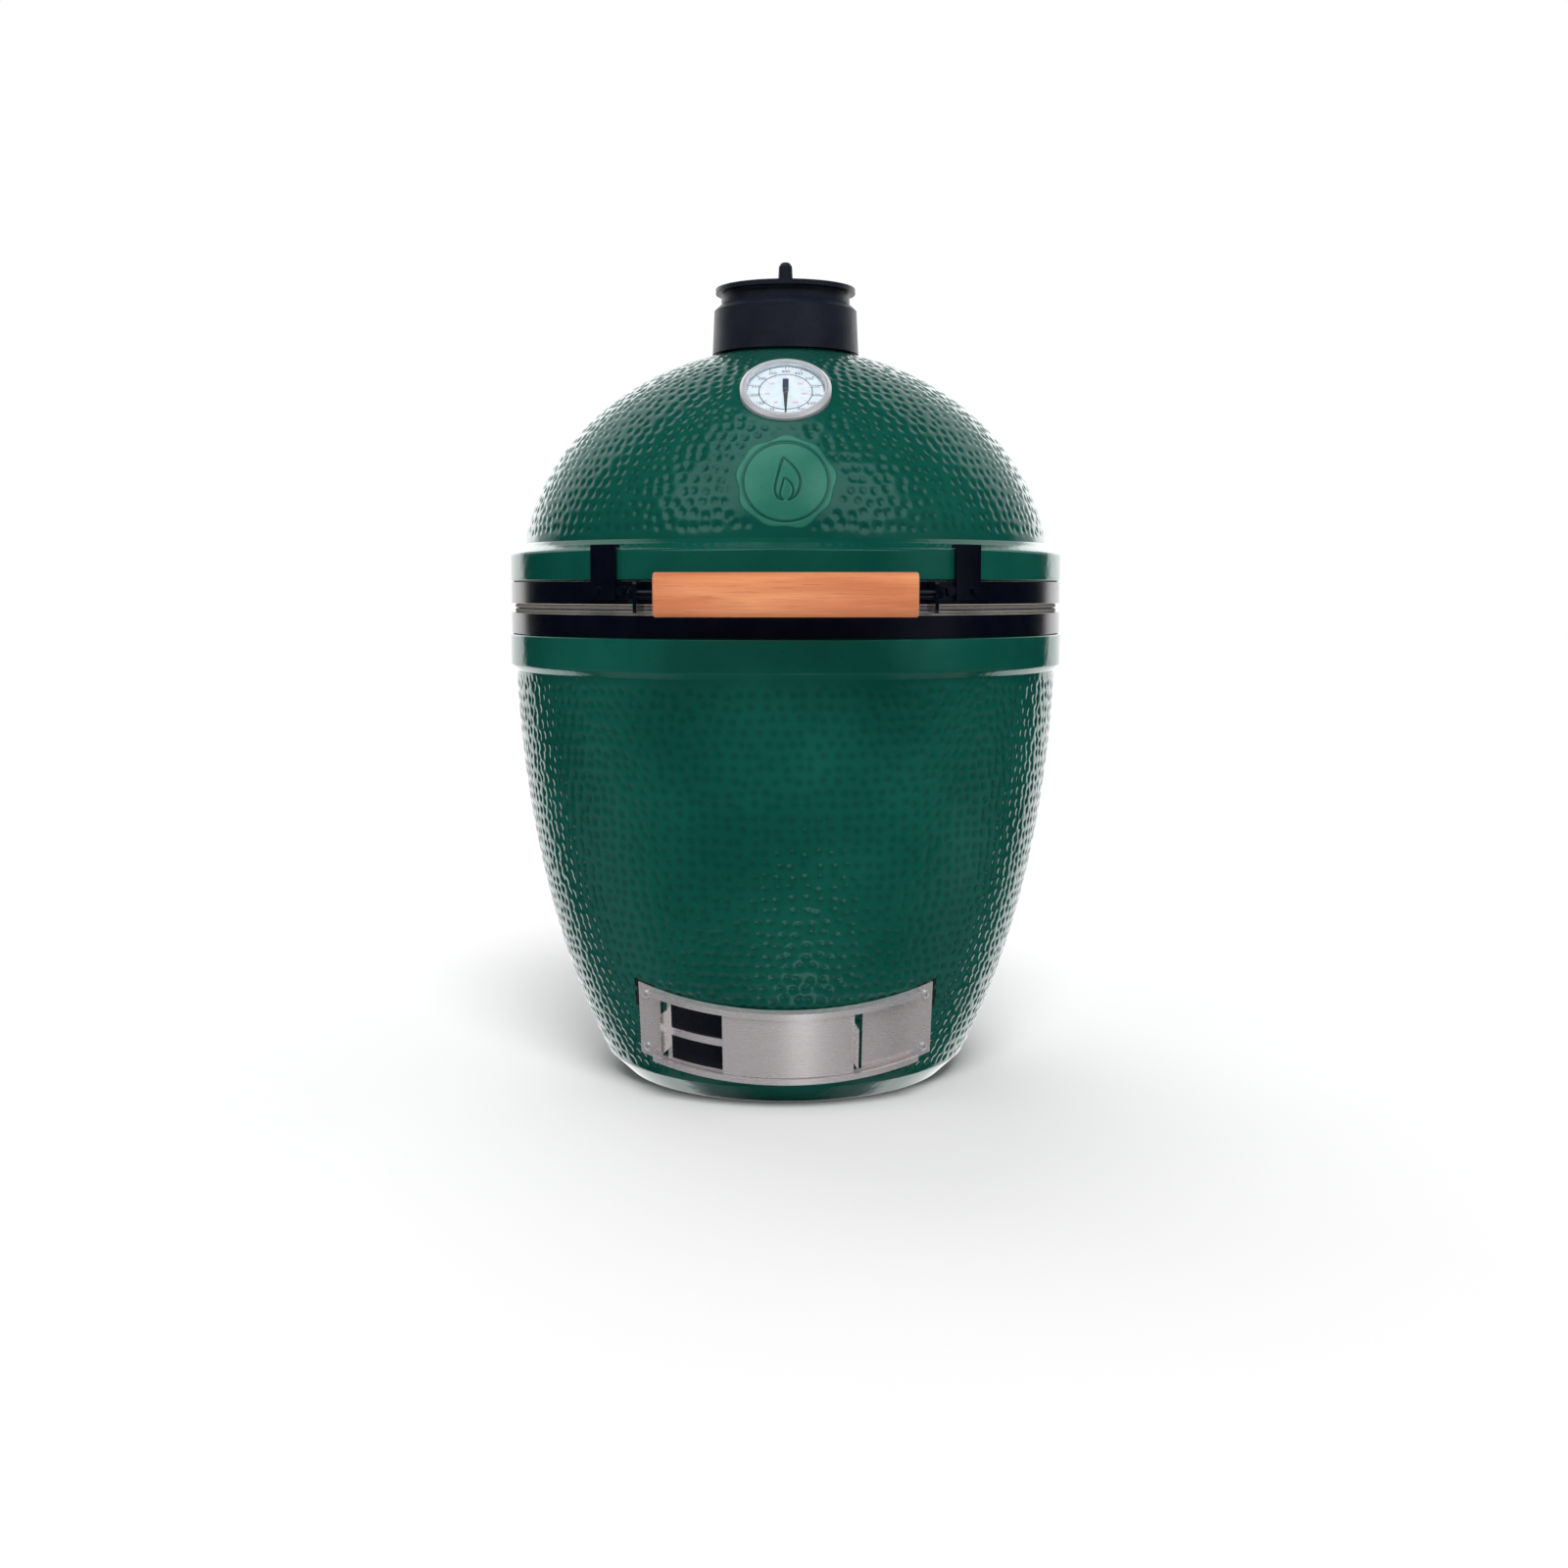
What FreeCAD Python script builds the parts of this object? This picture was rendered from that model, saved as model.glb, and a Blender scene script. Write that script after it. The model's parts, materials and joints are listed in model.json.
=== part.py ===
"""Kamado ceramic grill: a glazed ceramic base and hinged dome with their fittings.

Millimetres.  +Z is up, the origin is the centre of the foot's underside, and the
draft door, handle and thermometer face -Y.  Angles round the grill are measured
in degrees from the front (-Y) towards +X.
"""
import FreeCAD, Part
import math
import os
import re
import Sketcher

V = FreeCAD.Vector

# ---------------------------------------------------------------- driving sizes
SIZES = {
    # ceramic base
    "foot_radius": 161,
    "foot_rise": 20,
    "base_oval_radius": 270,
    "base_oval_height": 581,
    "base_oval_centre": 449,
    "base_inner_radius": 241,
    "base_inner_height": 545,
    "floor_top": 30,
    "floor_radius": 150,
    "floor_bend_top": 58,
    "flange_radius": 275.5,
    "flange_low": 405,
    "flange_foot": 411,
    "flange_top": 440,
    "seat_radius": 270.5,
    "seat_low": 441,
    "base_rim": 461.3,
    "edge_round": 3,
    "seat_play": 0.4,
    # felt gaskets
    "gasket_inner": 243,
    "gasket_outer": 270,
    "gasket_thickness": 3.9,
    "gasket_gap": 0.2,
    # small gaps and cutters that reach past the part they cut
    "rest_gap": 0.1,
    "bolt_play": 0.2,
    "overcut": 60,
    "cross_cut": 300,
    # ceramic dome
    "dome_rim": 469.9,
    "dome_inner_radius": 240,
    "dome_inner_height": 199,
    "dome_oval_radius": 262,
    "dome_oval_height": 225.3,
    "dome_oval_centre": 495.5,
    "dome_seat_top": 491,
    "dome_flange_radius": 274.5,
    "dome_flange_low": 492,
    "dome_flange_top": 518,
    "dome_slope_radius": 264,
    "dome_slope_top": 524,
    "dome_wall_low": 528,
    "neck_radius": 62,
    "neck_top": 735,
    "chimney_radius": 45,
    # steel bands round base and dome
    "band_inner": 270.7,
    "band_outer": 273.5,
    "lower_band_low": 441.4,
    "lower_band_high": 461,
    "upper_band_low": 470.5,
    "upper_band_high": 490.6,
    "ear_angle": 22.25,
    "ear_gap": 5,
    "ear_thickness": 3,
    "ear_reach": 292,
    "ear_bolt_radius": 283,
    "ear_hole": 3.2,
    "joint_gap": 1.1,
    "band_bolt_head": 3.5,
    "band_bolt_length": 24,
    "band_nut_radius": 6,
    "band_nut_thickness": 5,
    # rear hinge
    "hinge_back": 312,
    "hinge_height": 465.5,
    "hinge_plate": 274.2,
    "eye_radius": 10,
    "pin_radius": 4,
    "pin_clearance": 0.05,
    "pin_half_length": 71,
    "upper_arm_inside": 48,
    "lower_arm_inside": 60,
    "arm_thickness": 6,
    "lower_arm_start": 264.9,
    "upper_arm_start": 267.5,
    "lower_arm_rise": 5,
    "upper_arm_drop": 6,
    "clip_radius": 8,
    "clip_thickness": 1.5,
    "clip_gap": 0.4,
    "spring_inner": 5.5,
    "spring_outer": 9.1,
    "spring_inside": 10,
    "spring_outside": 45,
    "spring_wire": 1.8,
    "spring_leg": 1.6,
    "leg_inset": 0.5,
    "upper_leg_length": 36,
    "lower_leg_length": 34,
    # handle and its brackets
    "handle_front": 318,
    "handle_height": 479.3,
    "grip_half_length": 110.5,
    "grip_depth": 34,
    "grip_tall": 37.4,
    "grip_round": 9,
    "rod_radius": 4,
    "rod_overhang": 5,
    "rod_nut_radius": 6.6,
    "rod_nut_thickness": 4,
    "ear_inside": 124,
    "handle_ear_thickness": 3,
    "handle_ear_reach": 12,
    "handle_ear_below": 15.3,
    "handle_ear_above": 11.3,
    "handle_ear_round": 4,
    "handle_ear_back": 244.5,
    "bracket_inner": 273.8,
    "bracket_outer": 276.8,
    "strap_outer": 279.8,
    "bracket_low": 474,
    "bracket_high": 490.6,
    "hook_low": 520,
    "hook_high": 523,
    "hook_inner": 272.2,
    "strap_start": 32.5,
    "strap_end": 38.3,
    "bracket_start": 27.3,
    "bracket_end": 41.2,
    "bracket_bolt_height": 482.5,
    "bracket_bolt_near": 31.4,
    "bracket_bolt_far": 36.9,
    "bracket_bolt": 3,
    "bolt_head": 4.5,
    "bolt_head_thickness": 3,
    "bracket_bore_start": 265,
    "bracket_bore_end": 290,
    # thermometer, in its own frame: +Z out of the dial, +Y up the dial
    "dial_front": 182,
    "dial_height": 665,
    "dial_elevation": 44.5,
    "bezel_radius": 41.4,
    "bezel_depth": 8,
    "can_radius": 34.5,
    "can_depth": 14,
    "window_radius": 35.6,
    "glass_radius": 38,
    "bezel_edge": 2,
    "bezel_slope": 2.5,
    "window_lip": 1.2,
    "case_floor": 7,
    "glass_back": 2.3,
    "glass_thickness": 1,
    "dial_back": 6.9,
    "dial_thickness": 0.6,
    "shaft_radius": 1.3,
    "shaft_low": 6.4,
    "hub_radius": 3.5,
    "hub_low": 4.6,
    "needle_low": 4.4,
    "needle_thickness": 0.6,
    "pointer_width": 2.2,
    "pointer_length": 30,
    "tail_width": 4.6,
    "tail_length": 15,
    "bezel_play": 0.7,
    "can_play": 1.5,
    "seat_floor_gap": 0.5,
    "stem_radius": 4.75,
    "probe_radius": 3.15,
    "stem_top": 7.1,
    "stem_clip_radius": 12,
    "stem_clip_thickness": 1.2,
    "stem_clip_low": 41,
    "stem_length": 92,
    "stem_hole": 6,
    # chimney cap
    "collar_low": 714.8,
    "collar_low_radius": 72.5,
    "collar_shoulder": 757,
    "collar_shoulder_radius": 70.5,
    "collar_top": 770,
    "collar_top_radius": 63.5,
    "collar_inner": 64.3,
    "cap_seat": 737.5,
    "cap_mouth": 47,
    "cap_slope_rise": 6.5,
    "cap_lip": 5,
    "cap_ledge": 10,
    "cap_bolt": 3,
    "cap_bore": 3.05,
    "disc_bore": 3.06,
    "disc_radius": 69,
    "disc_low": 774,
    "disc_high": 778.6,
    "disc_gap": 0.3,
    "disc_ring_inset": 4,
    "disc_ring_play": 2.5,
    "pivot_back": 55.2,
    "pivot_head": 6,
    "pivot_head_thickness": 3,
    "pivot_length": 19,
    "rivet_head": 7,
    "rivet_head_thickness": 2.6,
    "rivet_drop": 2.8,
    "petal_count": 5,
    "petal_radius": 9,
    "petal_ring": 27,
    "wheel_radius": 46,
    "wheel_low": 778.9,
    "wheel_high": 781.4,
    "knob_radius": 7.4,
    "knob_foot": 11,
    "knob_top": 805,
    "knob_foot_thickness": 1.5,
    "knob_flare": 4.5,
    "knob_bore_drop": 12,
    # draft door, on a cylinder whose axis leans with the wall
    "vent_tilt": 22,
    "vent_back": 2.1,
    "vent_height": 148.1,
    "vent_plate_inner": 222,
    "vent_plate_outer": 223.4,
    "vent_half_height": 40,
    "vent_end": 38,
    "vent_rail_end": 33.3,
    "vent_left_start": 31.5,
    "vent_right_start": 18.5,
    "rail_web": 1.3,
    "rail_lip_thickness": 1.2,
    "vent_edge_play": 2,
    "vent_end_play": 1.5,
    "rail_outer": 229,
    "rail_lip": 33.5,
    "door_half_height": 38.2,
    "screen_left": 29.3,
    "screen_right": 1.7,
    "screen_tab_end": 29.6,
    "window_low": 4,
    "window_high": 31,
    "left_window_start": 28.2,
    "left_window_end": 14.6,
    "right_window_start": 13,
    "right_window_end": 0.6,
    "mesh_half_height": 33,
    "mesh_left": 28.9,
    "mesh_right": 1.3,
    "damper_left": 14.9,
    "damper_right": 16.2,
    "damper_tab_end": 16.5,
    "screen_inner": 224.2,
    "screen_outer": 225.2,
    "damper_inner": 226.1,
    "damper_outer": 227.3,
    "tab_reach": 237,
    "tab_half_height": 22,
    "screw_angle": 35.6,
    "screw_level": 30,
    "screw_hole": 2.6,
    "screw_clear_hole": 2.4,
    "screw_shank": 2.2,
    "screw_head": 4.4,
    "screw_head_thickness": 2.5,
    "screw_tip": 212,
    "screw_hole_bottom": 205,
    "draft_half_width": 52,
    "draft_low": 42,
    "draft_high": 92,
    "draft_front": 240,
    "draft_reach": 120,
    # ceramic and iron inside
    "fire_box_low": 30.4,
    "fire_box_top": 250,
    "fire_box_low_radius": 128,
    "fire_box_top_radius": 198,
    "fire_box_wall": 21,
    "notch_width": 104,
    "notch_top": 70.4,
    "notch_depth": 100,
    "notch_behind": 80,
    "ledge_height": 84,
    "ledge_inner": 103,
    "notch_drop": 8,
    "air_hole": 9,
    "air_hole_rise": 60,
    "grate_radius": 117,
    "grate_play": 3,
    "grate_rim": 12,
    "grate_thickness": 8,
    "grate_slot": 9,
    "grate_pitch": 17,
    "ring_low": 250.4,
    "ring_top": 345,
    "ring_low_radius": 205,
    "ring_top_radius": 212,
    "ring_inner": 174,
    "ring_taper": 4,
    "setter_low": 345.3,
    "setter_thickness": 15,
    "setter_radius": 183,
    "setter_top": 452,
    "leg_width": 118,
    "leg_inner": 204,
    "leg_outer": 222,
    "shoulder_start": 120,
    "shoulder_extra": 4,
    "rib_outer": 231,
    "rib_width": 16,
    # cooking grid
    "grid_radius": 229,
    "grid_ring_wire": 3,
    "grid_bar_wire": 2.4,
    "grid_pitch": 31,
    "grid_bar_count": 14,
    "grid_cross": 66,
    "grid_cross_overhang": 6,
    "grid_wire_gap": 0.05,
    "grid_ring_height": 455.4,
}

doc = FreeCAD.newDocument("kamado_grill")
sheet = doc.addObject("Spreadsheet::Sheet", "Sizes")
for row, (alias, size) in enumerate(SIZES.items(), 1):
    sheet.set(f"A{row}", alias)
    sheet.set(f"B{row}", str(size))
    sheet.setAlias(f"B{row}", alias)
doc.recompute()

NODES = []
WORD = re.compile(r"[a-z][a-z_]*")
ALONG_X = FreeCAD.Rotation(V(0, 1, 0), 90)
ALONG_Y = FreeCAD.Rotation(V(1, 0, 0), -90)
UPRIGHT = FreeCAD.Rotation()
SIDES = {"left": -1, "right": 1}


# ---------------------------------------------------------------- small helpers
def bound(text):
    """An expression in which every size's name points at its cell."""
    return WORD.sub(lambda m: "Sizes." + m.group(0) if m.group(0) in SIZES else m.group(0), str(text))


def number(text):
    """The present value of an expression."""
    value = sheet.evalExpression(bound(text))
    return float(getattr(value, "Value", value))


def bind(item, **sizes):
    for name, text in sizes.items():
        item.setExpression(name, bound(text))
    return item


def place(item, x=0, y=0, z=0, turn=UPRIGHT):
    """Put an object at a bound position, turned by a fixed rotation."""
    item.Placement = FreeCAD.Placement(V(number(x), number(y), number(z)), turn)
    for axis, text in zip("xyz", (x, y, z)):
        item.setExpression(f"Placement.Base.{axis}", bound(text))
    return item


def node(item):
    """Register a finished sub-part: its label names its file."""
    NODES.append(item)
    return item


def cylinder(name, radius, length, x=0, y=0, z=0, turn=UPRIGHT, sweep=360):
    item = doc.addObject("Part::Cylinder", name)
    bind(item, Radius=radius, Height=length, Angle=sweep)
    return place(item, x, y, z, turn)


def box(name, length, width, height, x=0, y=0, z=0):
    item = doc.addObject("Part::Box", name)
    bind(item, Length=length, Width=width, Height=height)
    return place(item, x, y, z)


def fuse(name, *items):
    item = doc.addObject("Part::MultiFuse", name)
    item.Shapes = list(items)
    item.Refine = True
    return item


def cut(name, base, *tools):
    item = doc.addObject("Part::Cut", name)
    item.Base = base
    item.Tool = tools[0] if len(tools) == 1 else gathered(name + "_tools", *tools)
    return item


def gathered(name, *items):
    item = doc.addObject("Part::Compound", name)
    item.Links = list(items)
    return item


def turned(name, item, angle):
    """The same object swung round the grill's axis."""
    whole = gathered(name, item)
    whole.Placement = FreeCAD.Placement(V(), FreeCAD.Rotation(V(0, 0, 1), number(angle)))
    return whole


def sector(name, inner, outer, low, high, start=-180, end=180):
    """Part of a tube round the Z axis, between two levels and two angles."""
    first = FreeCAD.Rotation(V(0, 0, 1), number(start) - 90)
    solid = cylinder(name + "_outside", outer, f"{high} - ({low})", z=low, turn=first,
                     sweep=f"{end} - ({start})")
    hollow = cylinder(name + "_inside", inner, f"{high} - ({low}) + 2", z=f"{low} - 1")
    return cut(name, solid, hollow)


def radial_rod(name, radius, inner, outer, angle, height):
    """A round rod that points straight out from the Z axis."""
    rod = cylinder(name + "_rod", radius, f"{outer} - {inner}", y=inner, z=height, turn=ALONG_Y)
    return turned(name, rod, f"{angle} + 180")


# ---------------------------------------------------------------- sketched outlines
OVALS = {
    "base_outside": ("base_oval_radius", "base_oval_height", "base_oval_centre", -1),
    "base_inside": ("base_inner_radius", "base_inner_height", "base_oval_centre", -1),
    "dome_outside": ("dome_oval_radius", "dome_oval_height", "dome_oval_centre", 1),
    "dome_inside": ("dome_inner_radius", "dome_inner_height", "dome_oval_centre", 1),
}


def spot(x, z, oval):
    """A point's place; a coordinate left as None is read from the oval it lies on."""
    if oval:
        radius, height, centre, side = [number(size) for size in OVALS[oval]]
    if x is None:
        return V(radius * math.sqrt(1 - ((number(z) - centre) / height) ** 2), number(z), 0)
    if z is None:
        return V(number(x), centre + side * height * math.sqrt(1 - (number(x) / radius) ** 2), 0)
    return V(number(x), number(z), 0)


def bound_constraint(sketch, name, text, *constraint):
    index = sketch.addConstraint(Sketcher.Constraint(*constraint, number(text)))
    sketch.renameConstraint(index, name)
    sketch.setExpression(f"Constraints.{name}", bound(text))


def oval_arc(sketch, label, start, end, oval):
    """An arc of an oval centred on the Z axis; returns (index, start's point, end's point)."""
    radius, height, centre, side = OVALS[oval]
    a, b, c = number(radius), number(height), number(centre)
    tall = b > a
    tips = (V(0, c + b, 0), V(-a, c, 0)) if tall else (V(a, c, 0), V(0, c + b, 0))
    ellipse = Part.Ellipse(tips[0], tips[1], V(0, c, 0))
    first, last = ellipse.parameter(start), ellipse.parameter(end)
    index = sketch.addGeometry(Part.ArcOfEllipse(ellipse, min(first, last), max(first, last)), False)
    sketch.exposeInternalGeometry(index)
    sketch.addConstraint(Sketcher.Constraint("DistanceX", index, 3, 0.0))
    bound_constraint(sketch, label + "_centre", centre, "DistanceY", index, 3)
    sketch.addConstraint(Sketcher.Constraint("Vertical" if tall else "Horizontal", index + 1))
    bound_constraint(sketch, label + "_major", f"2 * {height if tall else radius}", "Distance", index + 1)
    bound_constraint(sketch, label + "_minor", f"2 * {radius if tall else height}", "Distance", index + 2)
    return (index, 1, 2) if first < last else (index, 2, 1)


def outlined(sketch, outline):
    """Draw a closed outline in a sketch.

    Each point is (x, z) at the end of a straight line, or (x, z, oval) at the end of
    an arc of that oval; a coordinate of None is left for the oval to decide.
    """
    steps = [(point + (None,))[:3] for point in outline]
    after = steps[1:] + steps[:1]
    spots = [spot(x, z, oval or following[2]) for (x, z, oval), following in zip(steps, after)]
    edges = []
    for i, (x, z, oval) in enumerate(steps):
        if oval:
            edges.append(oval_arc(sketch, f"oval_{i}", spots[i - 1], spots[i], oval))
        else:
            edges.append((sketch.addGeometry(Part.LineSegment(spots[i - 1], spots[i]), False), 1, 2))
    for (index, start, end), (other, other_start, other_end) in zip(edges, edges[1:] + edges[:1]):
        sketch.addConstraint(Sketcher.Constraint("Coincident", index, end, other, other_start))
    for i, ((x, z, oval), (index, start, end)) in enumerate(zip(steps, edges)):
        if x is not None:
            bound_constraint(sketch, f"across_{i}", x, "DistanceX", index, end)
        if z is not None:
            bound_constraint(sketch, f"up_{i}", z, "DistanceY", index, end)
    return sketch


def sketch_in(body, name, plane, outline):
    """An outline on one of a body's own planes."""
    sketch = body.newObject("Sketcher::SketchObject", name)
    flat = [item for item in body.Origin.OriginFeatures if item.Role == plane][0]
    sketch.AttachmentSupport = [(flat, "")]
    sketch.MapMode = "FlatFace"
    return outlined(sketch, outline)


def revolved(name, outline):
    """A body turned about the Z axis from an outline of straight lines."""
    body = doc.addObject("PartDesign::Body", name)
    sketch = sketch_in(body, name + "_outline", "XZ_Plane", outline)
    turn = body.newObject("PartDesign::Revolution", name + "_turn")
    turn.Profile = sketch
    turn.ReferenceAxis = (sketch, ["V_Axis"])
    turn.Angle = 360
    return body


def revolved_shell(name, outline, radius, *rims):
    """A ceramic shell turned from an outline with oval arcs, with some rims rounded."""
    sketch = doc.addObject("Sketcher::SketchObject", name + "_outline")
    sketch.Placement = FreeCAD.Placement(V(), FreeCAD.Rotation(V(1, 0, 0), 90))
    turn = doc.addObject("Part::Revolution", name + "_turn")
    turn.Source = outlined(sketch, outline)
    turn.Axis = V(0, 0, 1)
    turn.Solid = True
    doc.recompute()
    fillet = doc.addObject("Part::Fillet", name)
    fillet.Base = turn
    fillet.Edges = [(i, number(radius), number(radius)) for i in rim_numbers(turn.Shape, rims)]
    return fillet


def padded(name, plane, outline, length):
    """A sketch drawn out to both sides of its plane."""
    body = doc.addObject("PartDesign::Body", name)
    sketch = sketch_in(body, name + "_outline", plane, outline)
    pad = body.newObject("PartDesign::Pad", name + "_pad")
    pad.Profile = sketch
    pad.Midplane = True
    bind(pad, Length=length)
    return body


def rim_numbers(shape, rims):
    """The numbers of a turned shape's circular edges, each given by its radius and level."""
    wanted = [(number(rim), number(level)) for rim, level in rims]
    return [
        i
        for i, edge in enumerate(shape.Edges, 1)
        if isinstance(edge.Curve, Part.Circle) and any(
            abs(edge.Curve.Radius - rim) < 0.02 and abs(edge.Curve.Center.z - level) < 0.02
            for rim, level in wanted
        )
    ]


def rounded_along(body, radius, direction):
    """Round a padded body's straight edges that run along a direction."""
    doc.recompute()
    tip = body.Tip
    names = [
        f"Edge{i}"
        for i, edge in enumerate(tip.Shape.Edges, 1)
        if isinstance(edge.Curve, Part.Line) and abs(edge.Curve.Direction.dot(direction)) > 0.99
    ]
    fillet = body.newObject("PartDesign::Fillet", body.Name + "_round")
    fillet.Base = (tip, names)
    bind(fillet, Radius=radius)
    return body


def softened(name, item, radius, direction, front):
    """Round a plain solid's straight edges that run along a direction and lie ahead of front."""
    doc.recompute()
    fillet = doc.addObject("Part::Fillet", name)
    fillet.Base = item
    fillet.Edges = [
        (i, number(radius), number(radius))
        for i, edge in enumerate(item.Shape.Edges, 1)
        if abs(edge.Curve.Direction.dot(direction)) > 0.99 and edge.CenterOfMass.y < front
    ]
    return fillet


# ---------------------------------------------------------------- frames of the fittings
def on_vent(item):
    """Move an object from the draft door's own frame to the grill's."""
    lean = FreeCAD.Rotation(V(1, 0, 0), number("vent_tilt"))
    return place(item, 0, "vent_back", "vent_height", lean)


def on_dial(item):
    """Move an object from the thermometer's own frame to the grill's."""
    lean = FreeCAD.Rotation(V(1, 0, 0), 90 - number("dial_elevation"))
    return place(item, 0, "-dial_front", "dial_height", lean)


# ---------------------------------------------------------------- ceramic base
def base_shell():
    solid = revolved_shell("base_ceramic", [
        ("0", "0"),
        ("foot_radius", "0"),
        (None, "foot_rise"),
        (None, "flange_low", "base_outside"),
        ("flange_radius", "flange_foot"),
        ("flange_radius", "flange_top"),
        ("seat_radius", "seat_low"),
        ("seat_radius", "base_rim"),
        ("base_inner_radius", "base_rim"),
        (None, "base_oval_centre"),
        (None, "floor_bend_top", "base_inside"),
        ("floor_radius", "floor_top"),
        ("0", "floor_top"),
    ], "edge_round", ("foot_radius", "0"), ("flange_radius", "flange_foot"),
        ("flange_radius", "flange_top"))
    draft = box("draft_hole", "2 * draft_half_width", "draft_reach", "draft_high - draft_low",
                "-draft_half_width", "-draft_front", "draft_low")
    seat = on_vent(sector("vent_seat", "vent_plate_inner - seat_play", "vent_plate_inner + overcut",
                          "-vent_half_height - vent_edge_play", "vent_half_height + vent_edge_play",
                          "-vent_end - vent_end_play", "vent_end + vent_end_play"))
    rods = screw_rods("screw_bore", "screw_hole", "screw_hole_bottom", "vent_plate_outer + 1")
    holes = on_vent(gathered("screw_holes", *rods))
    return node(cut("base_shell", solid, draft, seat, holes))


def screw_rods(name, radius, inner, outer):
    """Rods at the draft door's four corners."""
    return [
        radial_rod(f"{name}_{i}", radius, inner, outer, f"{across} * screw_angle", f"{up} * screw_level")
        for i, (across, up) in enumerate([(-1, -1), (1, -1), (1, 1), (-1, 1)])
    ]


def base_gasket():
    return node(sector("base_gasket", "gasket_inner", "gasket_outer", "base_rim + gasket_gap",
                       "base_rim + gasket_gap + gasket_thickness"))


# ---------------------------------------------------------------- bands and hinge
def band_ear(name, low, high, side, offset):
    """An out-turned ear beside one of the two band joints at the rear."""
    plate = box(name + "_plate", "ear_thickness", "ear_reach - band_inner", f"{high} - {low}",
                offset, "band_inner", low)
    return turned(name, plate, f"{-side} * ear_angle")


def ear_hole(name, low, high, side):
    """The bolt's hole through both ears of one band joint."""
    hole = cylinder(name + "_rod", "ear_hole", "overcut", "-overcut / 2", "ear_bolt_radius",
                    f"({low} + {high}) / 2", ALONG_X)
    return turned(name, hole, f"{-side} * ear_angle")


def band(name, low, high, *holes):
    """A steel strap round the ceramic, open at the rear, with an ear at each end."""
    opening = "ear_angle + joint_gap"
    strap = sector(name + "_strap", "band_inner", "band_outer", low, high,
                   f"-180 + {opening}", f"180 - ({opening})")
    ears = [
        band_ear(f"{name}_ear_{word}", low, high, side,
                 "ear_gap" if side > 0 else "-ear_gap - ear_thickness")
        for word, side in SIDES.items()
    ]
    bores = [ear_hole(f"{name}_bore_{word}", low, high, side) for word, side in SIDES.items()]
    return node(cut(name, fuse(name + "_whole", strap, *ears), *bores, *holes))


def hinge_bracket(name, low, high, arm_low, arm_high, inside, start):
    """A curved plate between the band's ears, with two arms that reach the hinge pin."""
    closing = "ear_angle - joint_gap"
    plate = sector(name + "_plate", "band_inner", "hinge_plate", low, high,
                   f"180 - ({closing})", f"180 + {closing}")
    ears = [
        band_ear(f"{name}_ear_{word}", low, high, side,
                 "-ear_gap - ear_thickness" if side > 0 else "ear_gap")
        for word, side in SIDES.items()
    ]
    arms = []
    for word, side in SIDES.items():
        edge = inside if side > 0 else f"-{inside} - arm_thickness"
        arms.append(box(f"{name}_arm_{word}", "arm_thickness", f"hinge_back - {start}",
                        f"{arm_high} - ({arm_low})", edge, start, arm_low))
        arms.append(cylinder(f"{name}_eye_{word}", "eye_radius", "arm_thickness", edge,
                             "hinge_back", "hinge_height", ALONG_X))
    bores = [ear_hole(f"{name}_bore_{word}", low, high, side) for word, side in SIDES.items()]
    pin = cylinder(name + "_pin_bore", "pin_radius + pin_clearance", "cross_cut", "-cross_cut / 2",
                   "hinge_back", "hinge_height", ALONG_X)
    return node(cut(name, fuse(name + "_whole", plate, *ears, *arms), *bores, pin))


def outside_ears(side, depth):
    """Where a piece of that depth starts when it lies against the outside of a pair of ears."""
    face = "ear_gap + ear_thickness + rest_gap"
    return face if side > 0 else f"-({face}) - {depth}"


def band_bolts(name, level):
    """A bolt through each pair of ears: a head on the bracket's side and a plain shank."""
    solids = []
    for word, side in SIDES.items():
        start = outside_ears(-side, "band_bolt_head")
        back = start if side > 0 else f"{start} + band_bolt_head - band_bolt_length"
        head = cylinder(f"{name}_head_{word}", "bolt_head", "band_bolt_head", start,
                        "ear_bolt_radius", level, ALONG_X)
        shank = cylinder(f"{name}_shank_{word}", "bracket_bolt", "band_bolt_length", back,
                         "ear_bolt_radius", level, ALONG_X)
        solids.append(turned(f"{name}_{word}", fuse(f"{name}_bolt_{word}", head, shank),
                             f"{-side} * ear_angle"))
    return node(gathered(name, *solids))


def hexagon(name, across, bore, length, x, y, z, turn):
    """A hexagon nut with a plain bore."""
    prism = doc.addObject("Part::Prism", name + "_blank")
    prism.Polygon = 6
    bind(prism, Circumradius=across, Height=length)
    place(prism, x, y, z, turn)
    bore_start = x if turn is UPRIGHT else f"{x} - 1"
    return cut(name, prism, cylinder(name + "_bore", bore, f"{length} + 2", bore_start, y, z, turn))


def band_nuts(name, level):
    solids = []
    for word, side in SIDES.items():
        nut = hexagon(f"{name}_nut_{word}", "band_nut_radius", "bracket_bolt + pin_clearance",
                      "band_nut_thickness", outside_ears(side, "band_nut_thickness"),
                      "ear_bolt_radius", level, ALONG_X)
        solids.append(turned(f"{name}_{word}", nut, f"{-side} * ear_angle"))
    return node(gathered(name, *solids))


def hinge_pin():
    return node(cylinder("hinge_pin", "pin_radius", "2 * pin_half_length", "-pin_half_length",
                         "hinge_back", "hinge_height", ALONG_X))


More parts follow.
